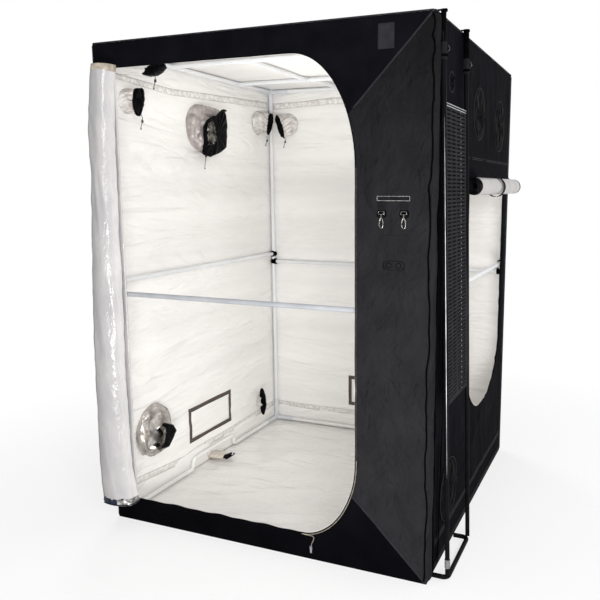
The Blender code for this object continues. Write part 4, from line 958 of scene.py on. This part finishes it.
# for each: its node, wall and place, its film, the collar's rings and the black end's, and for both the fold,
# crush and ridge
sleeves = {
    "leftLarge": ("sleeve_left_large", "left", (-0.747, -0.01, 1.84), "silverNylon",
                  [(1, circle(121), 1), (16, circle(121), 0.98), (40, largeRim, 0.98), (60, largeBag, 0.99),
                   (70, largeBag, 0.88)],
                  [(66, largeBag, 0.86), (73, largeBag, 0.99), (84, largeBag, 1.0), (92, largeBag, 0.95)],
                  (0.07, 0.008, 0.0012), (0.010, 0.0035, 0.0)),
    "leftSmall": ("sleeve_left_small", "left", (-0.747, -0.558, 1.914), "paleNylon",
                  [(1, circle(57), 1), (24, smallRim, 1.0), (44, smallBag, 0.9)],
                  [(42, smallBag, 0.85), (50, smallBag, 1), (62, smallBag, 1.0), (70, smallBag, 0.72)],
                  (0.08, 0.003, 0.0), (0.04, 0.002, 0.0030)),
    "leftCorner": ("sleeve_left_corner", "left", (-0.747, 0.6, 1.918), "paleNylon",
                   [(1, circle(68), 1), (26, cornerRim, 1), (46, cornerBag, 0.9)],
                   [(42, cornerBag, 0.85), (49, cornerBag, 1), (58, cornerBag, 1.0), (64, cornerBag, 0.72)],
                   (0.08, 0.003, 0.0), (0.04, 0.002, 0.0026)),
    "rearCorner": ("sleeve_rear_corner", "rear", (-0.615, 0.747, 1.915), "paleNylon",
                   [(1, circle(68), 1), (28, rearRim, 1), (50, rearBag, 0.9)],
                   [(46, rearBag, 0.85), (53, rearBag, 1), (63, rearBag, 1.0), (70, rearBag, 0.72)],
                   (0.08, 0.003, 0.0), (0.04, 0.002, 0.0026)),
    "leftLow": ("sleeve_left_low", "left", (-0.747, -0.476, 0.331), "foilNylon",
                [(1, circle(134, -4, 2), 1), (7, lowFoil, 0.97), (20, lowFoil, 1.03), (36, lowFoil, 0.93),
                 (52, lowFold, 0.95),
                 (60, lowBag, 0.95)],
                [(58, lowBag, 0.85), (64, lowBag, 1.0), (74, lowBag, 1.0), (80, lowBag, 0.94)],
                (0.07, 0.014, 0.0010), (0.012, 0.003, 0.0))}
for number, (name, (node, on, at, film, collar, sock, ruffle, tuck)) in enumerate(sleeves.items()):
    low = name == "leftLow"
    pouch(name + "Collar", film, on, at, collar, *ruffle, 50 + 3 * number, False, [node],
          columns=18 if low else 28, sharp=0.9,
          pleated=0.1 if low else 0.85)
    pouch(name + "Sock", "blackNylon", on, at, sock, *tuck, 80 + 3 * number, True, columns=32, sharp=0.45,
          fine=0.0005)
# the large bag's rolled hem, and the glossy inside showing at both large mouths
hem = [(122, 96), (100, 97), (82, 92), (61, 77), (29, 56), (-1, 54), (-47, 31), (-70, 0), (-72, -46),
       (-73, -92), (-92, -134)]
tube("largeHem", [(-0.657, -0.01 + y / 1000, 1.84 + z / 1000) for y, z in hem], 0.0055, "blackNylon",
     slot="sleeve_black")
inside = [(-14, 34), (2, 20), (12, -20), (24, -62), (-10, -92), (-56, -96), (-62, -46), (-58, -2), (-40, 22)]
pouch("largeInside", "innerFilm", "left", sleeves["leftLarge"][2],
      [(86, inside, 1), (94, inside, 0.98), (97, inside, 0.8)],
      0.03, 0.004, 0, 91, True, columns=26, sharp=0.7, fine=0.0022)
inside = [(-46, 46), (-30, 40), (-18, 22), (-24, -10), (-36, -32), (-64, -62), (-78, -56), (-58, -30),
          (-38, -8), (-36, 14),
          (-50, 30)]
pouch("lowInside", "innerFilm", "left", sleeves["leftLow"][2],
      [(70, inside, 1), (84, inside, 1), (88, inside, 0.8)],
      0.03, 0.004, 0, 95, True, columns=26, sharp=0.7, fine=0.0018)
# the ceiling sleeve: a short collar, its bag lying over to the front left
pouch("ceilingCollar", "silverNylon", "roof", (-0.61, -0.53, 2.127),
      [(1, circle(60), 1), (24, circle(56, -2), 1), (50, circle(44, -8), 1)], 0.05, 0.003, 0, 68, False,
      ["sleeve_ceiling"])
wedge = [(50, -56), (52, -70), (30, -90), (-6, -104), (-44, -104), (-62, -98), (-52, -86), (-38, -70),
         (-10, -58)]
pouch("ceilingSock", "blackNylon", "rear", (-0.61, -0.49, 2.127),
      [(1, wedge, 0.7), (14, wedge, 1), (40, wedge, 1.0), (56, wedge, 0.9)], 0.03, 0.002, 0.0022, 71, True,
      fine=0.0005)
# the small low sleeve by the rear corner: a long curved bag
tail = [(-50, 104), (-36, 44), (-10, -20), (-18, -56), (-44, -74), (-52, -62), (-38, -34), (-34, 0),
        (-52, 40), (-60, 80)]
at = (-0.7468, 0.56, 0.175)
pouch("rearLowCollar", "paleNylon", "left", at,
      [(1, circle(56), 1), (12, circle(52, -4, 4), 1), (34, circle(40, -30, 20), 0.8)],
      0.06, 0.002, 0, 131, False)
pouch("rearLowSock", "blackNylon", "left", at,
      [(22, tail, 0.7), (30, tail, 1), (44, tail, 1), (52, tail, 0.7)],
      0.04, 0.002, 0.0024, 133, True, fine=0.0005)
# the outer ends of the sleeves, tucked flat behind their openings: the way out, place along, height, radius
ports = {"high": ("left", -0.518, 1.92, 0.033), "large": ("left", -0.024, 1.85, 0.108),
         "rear": ("left", 0.447, 1.833, 0.12),
         "low": ("left", -0.435, 0.262, 0.13), "leftSmall": ("leftOut", -0.558, 1.914, 0.056),
         "leftLarge": ("leftOut", -0.01, 1.84, 0.12), "leftCorner": ("leftOut", 0.6, 1.918, 0.068),
         "leftLow": ("leftOut", -0.476, 0.331, 0.145), "leftRear": ("leftOut", 0.56, 0.175, 0.056),
         "rearCorner": ("rearOut", -0.615, 1.915, 0.068)}
# their film is painted near black, as the shade behind the openings
for number, (name, (on, along, z, r)) in enumerate(ports.items()):
    out, side, up = (np.array(v, float) for v in inward[on])
    tucked = ((2, 1), (5, 0.985), (6, 0.86), (5, 0.6), (4, 0.3))
    rings = [(away, circle(r * 1000), scale) for away, scale in tucked]
    middle = out * 0.7505 + side * along + up * z
    pouch("port." + name, "portFilm", on, middle, rings, 0.05, 0.0050, 0.0, 120 + number, True, columns=22,
          sharp=0.9,
          fine=0.0018, pleated=0.3)
    ring = hoop(middle + out * 0.002, side * (r + 0.004), up * (r + 0.004), 56)
    tube("portRing." + name, ring, 0.002, "seamBlack", 6, closed=True)
# the drain in the left wall, low down: a flattened cream tube tied off in black
drain = [(-36, 4), (-4, 15), (36, 8), (40, -8), (0, -14), (-38, -10)]
at = (-0.7468, 0, 0.030)
pouch("drainTube", "creamNylon", "left", at,
      [(1, drain, 0.9), (30, drain, 1), (70, drain, 1), (92, drain, 0.55)],
      0.04, 0.003, 0, 137, False, columns=22, sharp=0.6)
pouch("drainCinch", "blackNylon", "left", at,
      [(86, drain, 0.45), (92, drain, 0.6), (106, drain, 0.7), (120, drain, 0.55)],
      0.1, 0.004, 0, 139, True, columns=22, sharp=0.6)
for number, (reach, lift) in enumerate(((0.030, 0.020), (0.046, 0.006))):
    loop = [(-0.640 + 0.020 * math.cos(t) + 0.01 * number, reach * math.sin(t),
             0.030 + lift * math.cos(t) ** 2)
            for t in np.linspace(-1.3, 1.6, 22)]
    tube("drainTie.%d" % number, loop, 0.003, "blackWebbing", slot="sleeve_black")
tube("drainRing", hoop((-0.7440, 0, 0.036), (0, 0.042, 0), (0, 0, 0.031), 40), 0.0028, "creamNylon",
     closed=True)
print("sleeves made")


# Draw cords of the sleeves, each with a lock and a knot

cordRadius = 0.0015
cords = {"ceiling": ((-0.612, -0.528, 2.0312), 0.065), "left_small": ((-0.68, -0.545, 1.8544), 0.064),
         "left_large": ((-0.672, -0.07, 1.751), 0.126), "left_corner": ((-0.69, 0.6, 1.8364), 0.055),
         "rear_corner": ((-0.612, 0.685, 1.8346), 0.0607)}
# distance along the cord and radius, both in mm
lockShape = ((7, 3), (6, 4.5), (3, 5.2), (-3, 5.2), (-6, 4.5), (-7, 3))
knotShape = ((3, 1.5), (2, 3), (0, 3.4), (-2, 3), (-3, 1.2))


def turned(name, at, shape, finish, sides):
    route = [at + (0, 0, height / 1000) for height, _ in shape]
    return tube(name, route, [radius / 1000 for _, radius in shape], finish, sides, slot="cord")


for name, (start, length) in cords.items():
    count = 24
    shares = np.linspace(0, 1, count)
    sway = 0.004 * np.sin(1.5 * math.pi * shares)
    points = np.column_stack([start[0] + sway, start[1] + sway / 2, start[2] - length * shares])
    curve = bpy.data.curves.new("cord_" + name, "CURVE")
    curve.dimensions, curve.use_fill_caps = "3D", True
    curve.bevel_depth, curve.bevel_resolution = cordRadius, 3
    spline = curve.splines.new("POLY")
    spline.points.add(count - 1)
    spline.points.foreach_set("co", np.column_stack([points, np.ones(count)]).ravel())
    curve.materials.append(looks["braidedCord"])
    cordPiece = newObject("drawCord." + name, curve)
    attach(cordPiece, "tent")
    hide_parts("cord_" + name)
    lock = turned("cordLock." + name, points[round(count * 0.45)], lockShape, "blackMoulding", 10)
    knot = turned("cordKnot." + name, points[-1], knotShape, "braidedCord", 8)
print("cords made")


# Vents: a taped opening with insect mesh, behind a flap

for side in ("left", "rear"):
    node, wall, held = "vent_flap_" + side, walls[side], [side + "_wall"]
    low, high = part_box(node)
    axis = 0 if side == "left" else 1
    way = wall["out"][axis]
    a = np.linspace(low[1 - axis], high[1 - axis], 34)
    rows = []
    for z in np.linspace(low[2], high[2], 18):
        share = (z - low[2]) / (high[2] - low[2])
        wave = 0.5 + 0.5 * softNoise(a, a * 0 + z, (0.06, 0.05), 91)
        line = np.zeros((len(a), 3))
        line[:, axis] = (high if way < 0 else low)[axis] + way * wave * 0.0012 * math.sin(math.pi * share)
        line[:, 1 - axis], line[:, 2] = a, z
        rows.append(line)
    mesh = gridMesh(rows, thick=0.0011, outward=-way)
    flap = putPiece("ventFlap." + side, mesh, "whiteLining", side + "_vent", [node], "lining")
    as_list(held)
    for name, depth, made in (("In", -0.0036, "brownLoop"), ("Out", 0.0006, "blackWebbing")):
        rows = []
        for inset in (-0.006, vent["border"]):
            corners = np.array(ventOutline(side, inset))
            ahead = np.roll(corners, -1, axis=0)
            line = np.concatenate([np.linspace(p, q, 16, endpoint=False) for p, q in zip(corners, ahead)])
            rows.append(wallPoints(wall, *line.T, depth))
        putPiece("ventTape" + name + "." + side, gridMesh(rows, True, 0.0008, -1 if name == "In" else 1),
                 made)
    (a0, b0), _, (a1, b1), _ = ventOutline(side, 0.03)
    a, b = np.meshgrid(np.linspace(a0, a1, 12), np.linspace(b0, b1, 8))
    mesh = gridMesh(wallPoints(wall, a, b, -0.0015), thick=0.0006)
    screen = putPiece("ventMesh." + side, mesh, "insectMesh")
    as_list(held)
print("vents made")


# Tapes, seams, piping and hardware on the cover

# line of (across, low, high) along a wall
def wallStrip(name, wallName, line, depth, finish, slot=None, thick=0.0007):
    line = np.asarray(line, float)
    shares = np.linspace(0, len(line) - 1, 140)
    across, low, high = (np.interp(shares, range(len(line)), line[:, k]) for k in range(3))
    rows = [wallPoints(walls[wallName], across, low + (high - low) * t, depth) for t in (0, 0.33, 0.67, 1)]
    return putPiece(name, gridMesh(rows, thick=thick, outward=1 if depth > 0 else -1), finish, slot=slot)


bands = {"bandLeftHigh": ("left", [(0.03, 2.002, 2.03), (0.15, 2.004, 2.026), (0.50, 1.981, 2.010),
                                   (1.05, 2.000, 2.033),
                                   (1.46, 2.016, 2.048)]),
         "bandRearHigh": ("rear", [(0.03, 2.008, 2.044), (0.22, 2.018, 2.048), (0.42, 2.027, 2.062),
                                   (0.9, 2.022, 2.056),
                                   (1.47, 2.014, 2.046)]),
         "bandLeftLow": ("left", [(0.03, 0.112, 0.142), (0.22, 0.098, 0.128), (0.5, 0.074, 0.106),
                                  (0.64, 0.088, 0.118),
                                  (0.94, 0.086, 0.116), (1.31, 0.094, 0.124), (1.46, 0.098, 0.126)]),
         "bandRearLow": ("rear", [(0.03, 0.098, 0.126), (0.4, 0.094, 0.122), (0.9, 0.100, 0.128),
                                  (1.47, 0.096, 0.124)])}
for name, (wallName, line) in bands.items():
    wallStrip(name, wallName, line, -0.0037, "bandTape", "lining")
    for letter, edge in (("A", 1), ("B", 2)):  # a stitched line along each side of the band
        stitch = np.array(line)[:, [0, edge, edge]] + [(0, -0.001, 0.001)]
        wallStrip(name + "Stitch" + letter, wallName, stitch, -0.0042, "seamGrey", thick=0.0004)

# tapes sewn flat on the outside, from (across, up) to (across, up)
tapes = {"rear": [((0.02, 0.02), (0.02, 2.1)), ((1.48, 0.02), (1.48, 2.1)), ((0.02, 0.02), (1.48, 0.02)),
                  ((0.04, 2.03), (1.46, 2.03)), ((0.04, 0.118), (1.46, 0.118))],
         "left": [((0.02, 0.02), (0.02, 2.1)), ((1.473, 0.02), (1.473, 2.1)), ((0.02, 0.02), (1.473, 0.02)),
                  ((0.04, 2.03), (1.45, 2.03)), ((0.04, 0.118), (1.45, 0.118))],
         "right": [((1.473, 0.02), (1.473, 2.1)), ((0.10, 0.02), (1.46, 0.02)),
                   ((0.10, 0.118), (1.45, 0.118))],
         "roof": [((0.022, 0.02), (0.022, 1.48)), ((1.478, 0.02), (1.478, 1.48)),
                  ((0.04, 0.022), (1.46, 0.022)),
                  ((0.04, 1.478), (1.46, 1.478)), ((0.75, 0.04), (0.75, 1.46))]}
tapeWidth, tapeDepth, share = 0.026, 0.0012, np.linspace(0, 1, 90)
for wallName, lines in tapes.items():
    for number, ((a0, b0), (a1, b1)) in enumerate(lines):
        length = math.hypot(a1 - a0, b1 - b0)
        rows = []
        for t, rise in ((0.5, 0.0), (0.46, 1.0), (0.0, 0.85), (-0.46, 1.0), (-0.5, 0.0)):
            sway = t * tapeWidth + 0.0008 * softNoise(share * length, share * 0, (0.09, 1), 64)
            a = a0 + (a1 - a0) * share - (b1 - b0) / length * sway
            b = b0 + (b1 - b0) * share + (a1 - a0) / length * sway
            rows.append(wallPoints(walls[wallName], a, b, 0.0003 + rise * tapeDepth))
        putPiece("tape.%s.%d" % (wallName, number), gridMesh(rows), "blackWebbing")
print("outer tapes made")


def frontPoints(points, depth=0.0):  # (x, z) on the front cover
    points = np.asarray(points)
    return wallPoints(walls["front"], points[..., 0] + tent["half"], points[..., 1], depth)


def frontLine(points, depth=0.0, step=0.012):  # a polyline on the front cover, of (x, z)
    route = []
    for (x0, z0), (x1, z1) in zip(points, points[1:]):
        count = max(1, round(math.hypot(x1 - x0, z1 - z0) / step))
        route += [(x0 + (x1 - x0) * k / count, z0 + (z1 - z0) * k / count) for k in range(count)]
    return frontPoints(route + [tuple(points[-1])], depth)


for name, ends in mitres.items():  # a flat strip sewn along each mitre
    line = frontLine(ends)
    along = np.gradient(line, axis=0)
    along /= np.linalg.norm(along, axis=1)[:, None]
    across = np.column_stack([-along[:, 2], 0 * along[:, 1], along[:, 0]])
    rows = [line + across * 0.007 * t - (0, 0.0004 + 0.0016 * (1 - (2 * t) ** 4), 0)
            for t in (-0.5, -0.4, 0, 0.4, 0.5)]
    putPiece("mitreSeam." + name, gridMesh(rows), "seamBlack")
doorLine, jambEnd = doorwayOutline(0.0015), -0.63
first = next(k for k in range(len(doorLine)) if doorLine[k - 1][0] < jambEnd <= doorLine[k][0])
# the left jamb is under the lining
doorLine = [p for p in doorLine[first:] + doorLine[:first] if p[0] > jambEnd]
# the binding takes the darker oxford, painted shade
tube("doorBinding", frontLine(doorLine), 0.0024, "crossOxford")
edge = np.array([p for p in doorwayOutline(-0.001) if p[0] > 0.0])
tube("doorLiningEdge", frontPoints(edge, -0.0032), 0.0014, "whiteLining", 6)
zipTail = [(0.262, 0.1045), (0.268, 0.098), (0.262, 0.080), (0.2555, 0.066), (0.2545, 0.052)]
lowRight = [p for p in doorwayOutline(0.006) if p[0] > 0.2 and p[1] < 0.47]
tube("doorZip", frontLine(lowRight[::-1] + zipTail, 0.0012), 0.0016, "zipCoil")
tube("doorZipUpper", frontLine([(0.4565, 0.46), (0.4565, 1.60)], 0.0010), 0.0012, "brownLoop")


def stitchedPatch(name, low, high, depth, finish, rounding=0.004, pillow=0.0):
    # a flat patch on the front cover, with rounded corners and a line of stitches round it
    (x0, z0), (x1, z1) = low, high
    left, right, down, up = x0 + rounding, x1 - rounding, z0 + rounding, z1 - rounding
    corners = ((right, down, 0.75), (right, up, 0.0), (left, up, 0.25), (left, down, 0.5))
    edge = np.array([p for x, z, turn in corners for p in quarterArc((x, z), rounding, rounding, turn, 6)])
    middle, top = edge.mean(axis=0), depth + pillow
    rows = [frontPoints(middle + (edge - middle) * share, 0.0003 + rise)
            for share, rise in ((1.0, 0.0), (0.985, depth), (0.85, depth + pillow * 0.5), (0.5, top),
                                (0.02, top))]
    putPiece(name, gridMesh(rows, wrap=True), finish)
    inset = middle + (edge - middle) * (1 - 0.004 / max(0.01, (z1 - z0) / 2))
    dense = np.concatenate([np.linspace(p, q, max(2, int(np.linalg.norm(q - p) / 0.0011)), endpoint=False)
                            for p, q in zip(inset, np.roll(inset, -1, axis=0))])
    stitches = [frontPoints(p, top + 0.0004) for k, p in enumerate(dense) if k % 4 < 3][::2]
    boxes(name + "Stitch", [(q - (0.0009, 0.0004, 0.0007), q + (0.0009, 0.0002, 0.0007)) for q in stitches],
          "seamBlack")


stitchedPatch("blankLabel", (0.540, 1.478), (0.668, 1.497), 0.0008, "blackWebbing")
labelEdge = [(0.5415, 1.4795), (0.6665, 1.4795), (0.6665, 1.4955), (0.5415, 1.4955), (0.5415, 1.4795)]
tube("labelFrame", frontLine(labelEdge, 0.0014, 0.003), 0.0006, "seamGrey", 6)
stitchedPatch("blankBadge", (0.541, 2.012), (0.603, 2.100), 0.0007, "seamBlack", 0.003)
stitchedPatch("pocket", (0.535, 1.205), (0.672, 1.352), 0.0003, "blackOxford", 0.02, 0.0012)
stitchedPatch("pillPatch", (0.566, 1.226), (0.648, 1.259), 0.0014, "blackOxford", 0.016, 0.0018)
pill = {"height": 1.2425, "left": 0.5825, "right": 0.6315, "radius": 0.0165, "ring": 0.0095}
line = [p for x, turn in ((pill["right"], -0.25), (pill["right"], 0.0), (pill["left"], 0.25),
                          (pill["left"], 0.5))
        for p in quarterArc((x, pill["height"]), pill["radius"], pill["radius"], turn, 12)]
tube("pillSeam", frontLine(line + line[:1], 0.0012, 0.002), 0.0013, "pipingBlack", 6)
for x in (0.588, 0.626):
    ring = hoop((x, pill["height"]), (pill["ring"], 0), (0, pill["ring"]), 28, closed=True)
    tube("pillRing.%d" % round(x * 1000), frontLine(ring, 0.0036, 0.002), 0.0011, "pipingBlack", 6)
for x in (0.558, 0.645):
    name = "%d" % round(x * 1000)
    stitchedPatch("hookTab." + name, (x - 0.015, 1.4445), (x + 0.015, 1.474), 0.0016, "blackWebbing", 0.002,
                  0.0008)
    stitchedPatch("hookLoop." + name, (x - 0.0185, 1.418), (x + 0.0185, 1.4455), 0.0006, "pipingBlack", 0.009,
                  0.0004)

z = np.linspace(0.01, 2.118, 190)
fullness = 0.85 + 0.25 * softNoise(z, z * 0, (0.11, 1), 77) + 0.12 * softNoise(z, z * 0, (0.04, 1), 78)
sway = 0.0090 * softNoise(z, z * 0, (0.09, 1), 73)
rows = []
for t in np.linspace(0, 1, 15):  # the cloth bulges over the corner pole, beside the front edge
    rise = 0.011 * fullness * math.sin(math.pi * min(1.0, t * 1.02)) ** 0.75 if 0 < t < 1 else 0 * z
    rows.append(np.column_stack([0.7503 + rise, -0.7512 + 0.070 * t + sway * t, z]))
cornerSleeve = putPiece("cornerSleeve", gridMesh(rows), "blackOxford", slot="cover")

levels = (0.012, 0.36, 0.69, 1.10, 1.48, 1.77, 1.97, 2.12)
bow = (-0.600, -0.577, -0.567, -0.578, -0.602, -0.648, -0.674, -0.690)


# a tube along points, swaying a little as it was sewn: piping, and at the front corner painted crease shade
def wavyLine(name, points, radius, sway, seed, finish, axis=1):
    shares, run = np.linspace(0, len(points) - 1, 150), np.linspace(0, 2.1, 150)
    route = np.column_stack([np.interp(shares, range(len(points)), line) for line in zip(*points)])
    route[:, axis] += sway * softNoise(run, run * 0, (0.09, 1), seed)
    route[:, axis] += 0.4 * sway * softNoise(run, run * 0 + 3, (0.035, 1), seed + 1)
    tube(name, route, radius, finish)


# the two lines at the front corner are near-black painted shade of its deep creases
wavyLine("sleeveCreaseShade", [(0.7525, -0.679, z) for z in levels], 0.0042, 0.0110, 73, "pipingBlack")
wavyLine("cornerCreaseShade", [(0.7450, -0.7518, z) for z in levels], 0.0032, 0.0070, 71, "pipingBlack", 0)
wavyLine("sidePiping", [(0.7516, y, z) for y, z in zip(bow, levels)], 0.0030, 0.0060, 73, "pipingBlack")
wavyLine("sidePipingTwin", [(0.7512, y - 0.022, z) for y, z in zip(bow, levels)], 0.0022, 0.0045, 73,
           "blackNylon")
# the binding takes the darker oxford, painted shade
tube("sideBinding", [(0.7516, y, z) for y, z in sideHem + sideHem[:1]], 0.0032, "crossOxford")
for number, z in enumerate((1.6495, 1.6565)):
    wavyLine("sideHem.%d" % number, [(0.7512, y, z) for y in (-0.30, 0.0, 0.3, 0.6, 0.735)], 0.0016, 0.0,
               75, "seamBlack")
face, corner, roofEdge = 0.7505, 0.7498, 2.1295
for name, (x, y) in {"front": (0, -face), "right": (face, 0), "rear": (0, face), "left": (-face, 0)}.items():
    ends = [(x or end, y or end, roofEdge) for end in (-0.745, 0.745)]
    tube("roofPiping." + name, np.linspace(*ends, 60), 0.0022, "seamBlack")
for name, (x, y) in {"rearRight": (face, corner), "rearLeft": (-face, corner),
                     "frontLeft": (-face, -corner)}.items():
    tube("edgePiping." + name, np.linspace((x, y, 0.01), (x, y, 2.12), 60), 0.0024, "seamBlack")
print("tapes and seams made")


# Rack board: rows of narrow slots in a folded sheet

board = {"box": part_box("rack_board"), "rows": 75, "columns": 4, "margin": 0.016, "slotWide": 0.8,
         "slotTall": 0.42,
         "sheet": 0.0015, "flange": 0.012}
slope = (0.8185 - 0.7655) / 2.03  # the rack leans in this far for each metre up
(x0, y0, z0), (x1, y1, z1) = board["box"]


def boardPoint(corner, depth):  # the sheet leans with the frame
    y, z = corner
    return (x1 - 0.0005 - (z - z0) * slope - depth, y, z)


def cornersOf(ya, yb, za, zb):
    return [(ya, za), (yb, za), (yb, zb), (ya, zb)]


def boardMesh():
    points, faces, margin, depths = [], [], board["margin"], (0, board["sheet"])
    ys = [y0, *np.linspace(y0 + margin, y1 - margin, board["columns"] + 1), y1]
    zs = [z0, *np.linspace(z0 + margin, z1 - margin, board["rows"] + 1), z1]
    for i in range(len(ys) - 1):
        for j in range(len(zs) - 1):
            ya, yb, za, zb = ys[i], ys[i + 1], zs[j], zs[j + 1]
            base, cell = len(points), cornersOf(ya, yb, za, zb)
            points += [boardPoint(corner, depth) for depth in depths for corner in cell]
            if i in (0, len(ys) - 2) or j in (0, len(zs) - 2):
                faces += [[base, base + 1, base + 2, base + 3], [base + 7, base + 6, base + 5, base + 4]]
                continue
            sy, sz = (yb - ya) * (1 - board["slotWide"]) / 2, (zb - za) * (1 - board["slotTall"]) / 2
            hole = cornersOf(ya + sy, yb - sy, za + sz, zb - sz)
            points += [boardPoint(corner, depth) for depth in depths for corner in hole]
            for k in range(4):
                k, m = base + k, base + (k + 1) % 4
                faces += [[k, m, 8 + m, 8 + k], [4 + m, 4 + k, 12 + k, 12 + m],
                          [8 + k, 8 + m, 12 + m, 12 + k]]
    outline = cornersOf(y0, y1, z0, z1)
    for a, b in zip(outline, outline[1:] + outline[:1]):  # the folded edges
        faces.append([len(points) + k for k in range(4)])
        points += [boardPoint(a, 0), boardPoint(b, 0), boardPoint(b, board["flange"]),
                   boardPoint(a, board["flange"])]
    return closeMesh(meshOf(points, faces), weld=0.00002)


putPiece("rackBoard", boardMesh(), "blackCoat", replaced=["rack_board"], slot="rack", smooth=False)
# two bright strips along the sheet's top are painted highlights of its folded flange
xTop = x1 - (z1 - z0) * slope
boxes("boardTopHighlight", [((xTop - 0.0015, y0, z1 - drop - 0.0022), (xTop + 0.0012, y1, z1 - drop))
                       for drop in (0.0, 0.009)],
      "zincEdge")
y = y0 + board["margin"] + (y1 - y0 - 2 * board["margin"]) * 0.75
rivet = np.array((0.0006, 0.0018, 0.0014))
middles = [np.array((x1 - (z - z0) * slope, y, z))
           for z in np.linspace(z0 + board["margin"], z1 - board["margin"], 2 * board["rows"] + 1)[::3]]
boxes("boardRivets", [(middle - rivet, middle + rivet) for middle in middles], "zincEdge")
print("rack board made")


# Push-on clips where the bars meet their posts, and the fittings at the heads of the rack's uprights

for name, ends in {"left": ("front", "rear"), "right": ("front", "rear"), "rear": ("left", "right")}.items():
    low, high = (np.array(v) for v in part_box("mid_bar_" + name))
    axis = 0 if name == "rear" else 1
    radius = (high[2] - low[2]) / 2
    for end, place, sign in zip(ends, (low, high), (1, -1)):
        middle, way = (low + high) / 2, np.zeros(3)
        way[axis], middle[axis] = sign, place[axis]
        route = [middle + way * d for d in (0.002, 0.003, 0.026, 0.030, 0.034)]
        radii = [radius + grow for grow in (0.001, 0.003, 0.003, 0.0022, 0.0006)]
        tube("barClip.%s.%s" % (name, end), route, radii, "pipingBlack", 16, body=name + "_bar")

rackHead = {"wide": {"front": (0.008, 0.010), "rear": (0.0125, 0.0125)},
            "thick": {"front": (0.0045, 0.0105), "rear": (0.0115, 0.0115)}}
lean = Vector((-slope, 0, 1)).normalized()
for name in ("front", "rear"):
    low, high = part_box("rack_" + name + "_upright")
    y = (low[1] + high[1]) / 2
    head = Vector((low[0] + 0.0095, y, high[2]))
    route = [head + lean * d for d in (0.002, 0.0005, -0.001, -0.034, -0.036, -0.037)]
    tube("rackFerrule." + name, route, [0.0098, 0.0106, 0.0112, 0.0112, 0.0106, 0.0098], "dullNylon", 20)
    route = [head + lean * d + Vector((0.001, 0, 0)) for d in (-0.038, -0.040, -0.046, -0.048)]
    tube("rackKnob." + name, route, [0.011, 0.0135, 0.0135, 0.011], "pipingBlack", 20)
    ring = hoop(head + lean * -0.020 + Vector((0.0125, 0.004, 0)), (0.0075, 0, 0), (0, 0, 0.010), 26)
    tube("rackRing." + name, ring, 0.0009, "agedNickel", closed=True)
    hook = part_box("rack_hook_" + name)[1]
    rows = []
    for share in np.linspace(0, 1, 20):  # the black sleeve drawn over the hook's shank
        z = head.z + 0.001 + (hook[2] - 0.0005 - head.z) * share
        wide, thick = (np.interp(share, (0, 1), rackHead[k][name]) for k in ("wide", "thick"))
        wide += 0.0006 * math.sin(17 * share)
        middle = (head.x - slope * (z - head.z), y + 0.0015 * math.sin(9 * share), z)
        rows.append(hoop(middle, (thick, 0, 0), (0, wide, 0), 16))
    middle = np.mean(rows[-1], axis=0)
    rows.append([middle + (q - middle) * 0.2 + (0, 0, 0.001) for q in rows[-1]])
    low = (hook[0] - 0.021, y - 0.007, hook[2] - 0.0085)
    high = (hook[0] - 0.003, y + 0.007, hook[2] + 0.0006)
    boxes("rackTongue." + name, [(low, high)], "pipingBlack", slot="webbing")
    putPiece("rackSleeve." + name, gridMesh(rows, wrap=True), "pipingBlack", slot="webbing")
# a painted highlight on the front upright: its radius and the angle it faces
highlightStrip = {"radius": 0.0098, "angle": 0.38}
low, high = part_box("rack_front_upright")
rows = []
for share in np.linspace(0, 1, 60):  # a painted highlight: a bright strip down the front upright, widest at mid height
    z = 0.42 + 1.36 * share
    wide = 0.09 * math.sin(math.pi * share) ** 0.6 * (1 + 0.15 * math.sin(31 * share))
    x, y = high[0] - 0.0095 - slope * z, (low[1] + high[1]) / 2
    angles = np.linspace(highlightStrip["angle"] - wide, highlightStrip["angle"] + wide, 5)
    rows.append([(x + highlightStrip["radius"] * math.sin(t), y - highlightStrip["radius"] * math.cos(t), z) for t in angles])
putPiece("rackHighlight", gridMesh(rows), "rubbedPaint")
print("rack fittings made")


# Finishes of the pieces that keep their CAD shape, by the start of the name

# the front bar takes the darker copy of the white, painted shade, and the floor rails a lighter copy, painted
# light
finishes = {"post": "whitePowder", "top_rail": "whitePowder", "bottom_rail": "railPowder",
            "mid_bar_front": "greyZinc",
            "mid_bar": "whitePowder", "roof_bar": "whitePowder", "roof_tie": "whitePowder",
            "top_corner": "greyNylon",
            "bottom_corner": "greyNylon", "rack_strap": "greyLoop", "rack_hook": "blackWebbing",
            "rack": "blackPowder",
            "snap": "agedNickel", "side_roll_strap": "blackWebbing", "front_zip_slider": "brightSteel",
            "floor": "trayFilm", "vent": "whiteLining", "sleeve": "silverNylon", "cord": "braidedCord"}
for name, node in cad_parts.items():
    made = next((finish for start, finish in finishes.items() if name.startswith(start)), "blackOxford")
    for slot in node.material_slots:
        slot.material = looks[made]
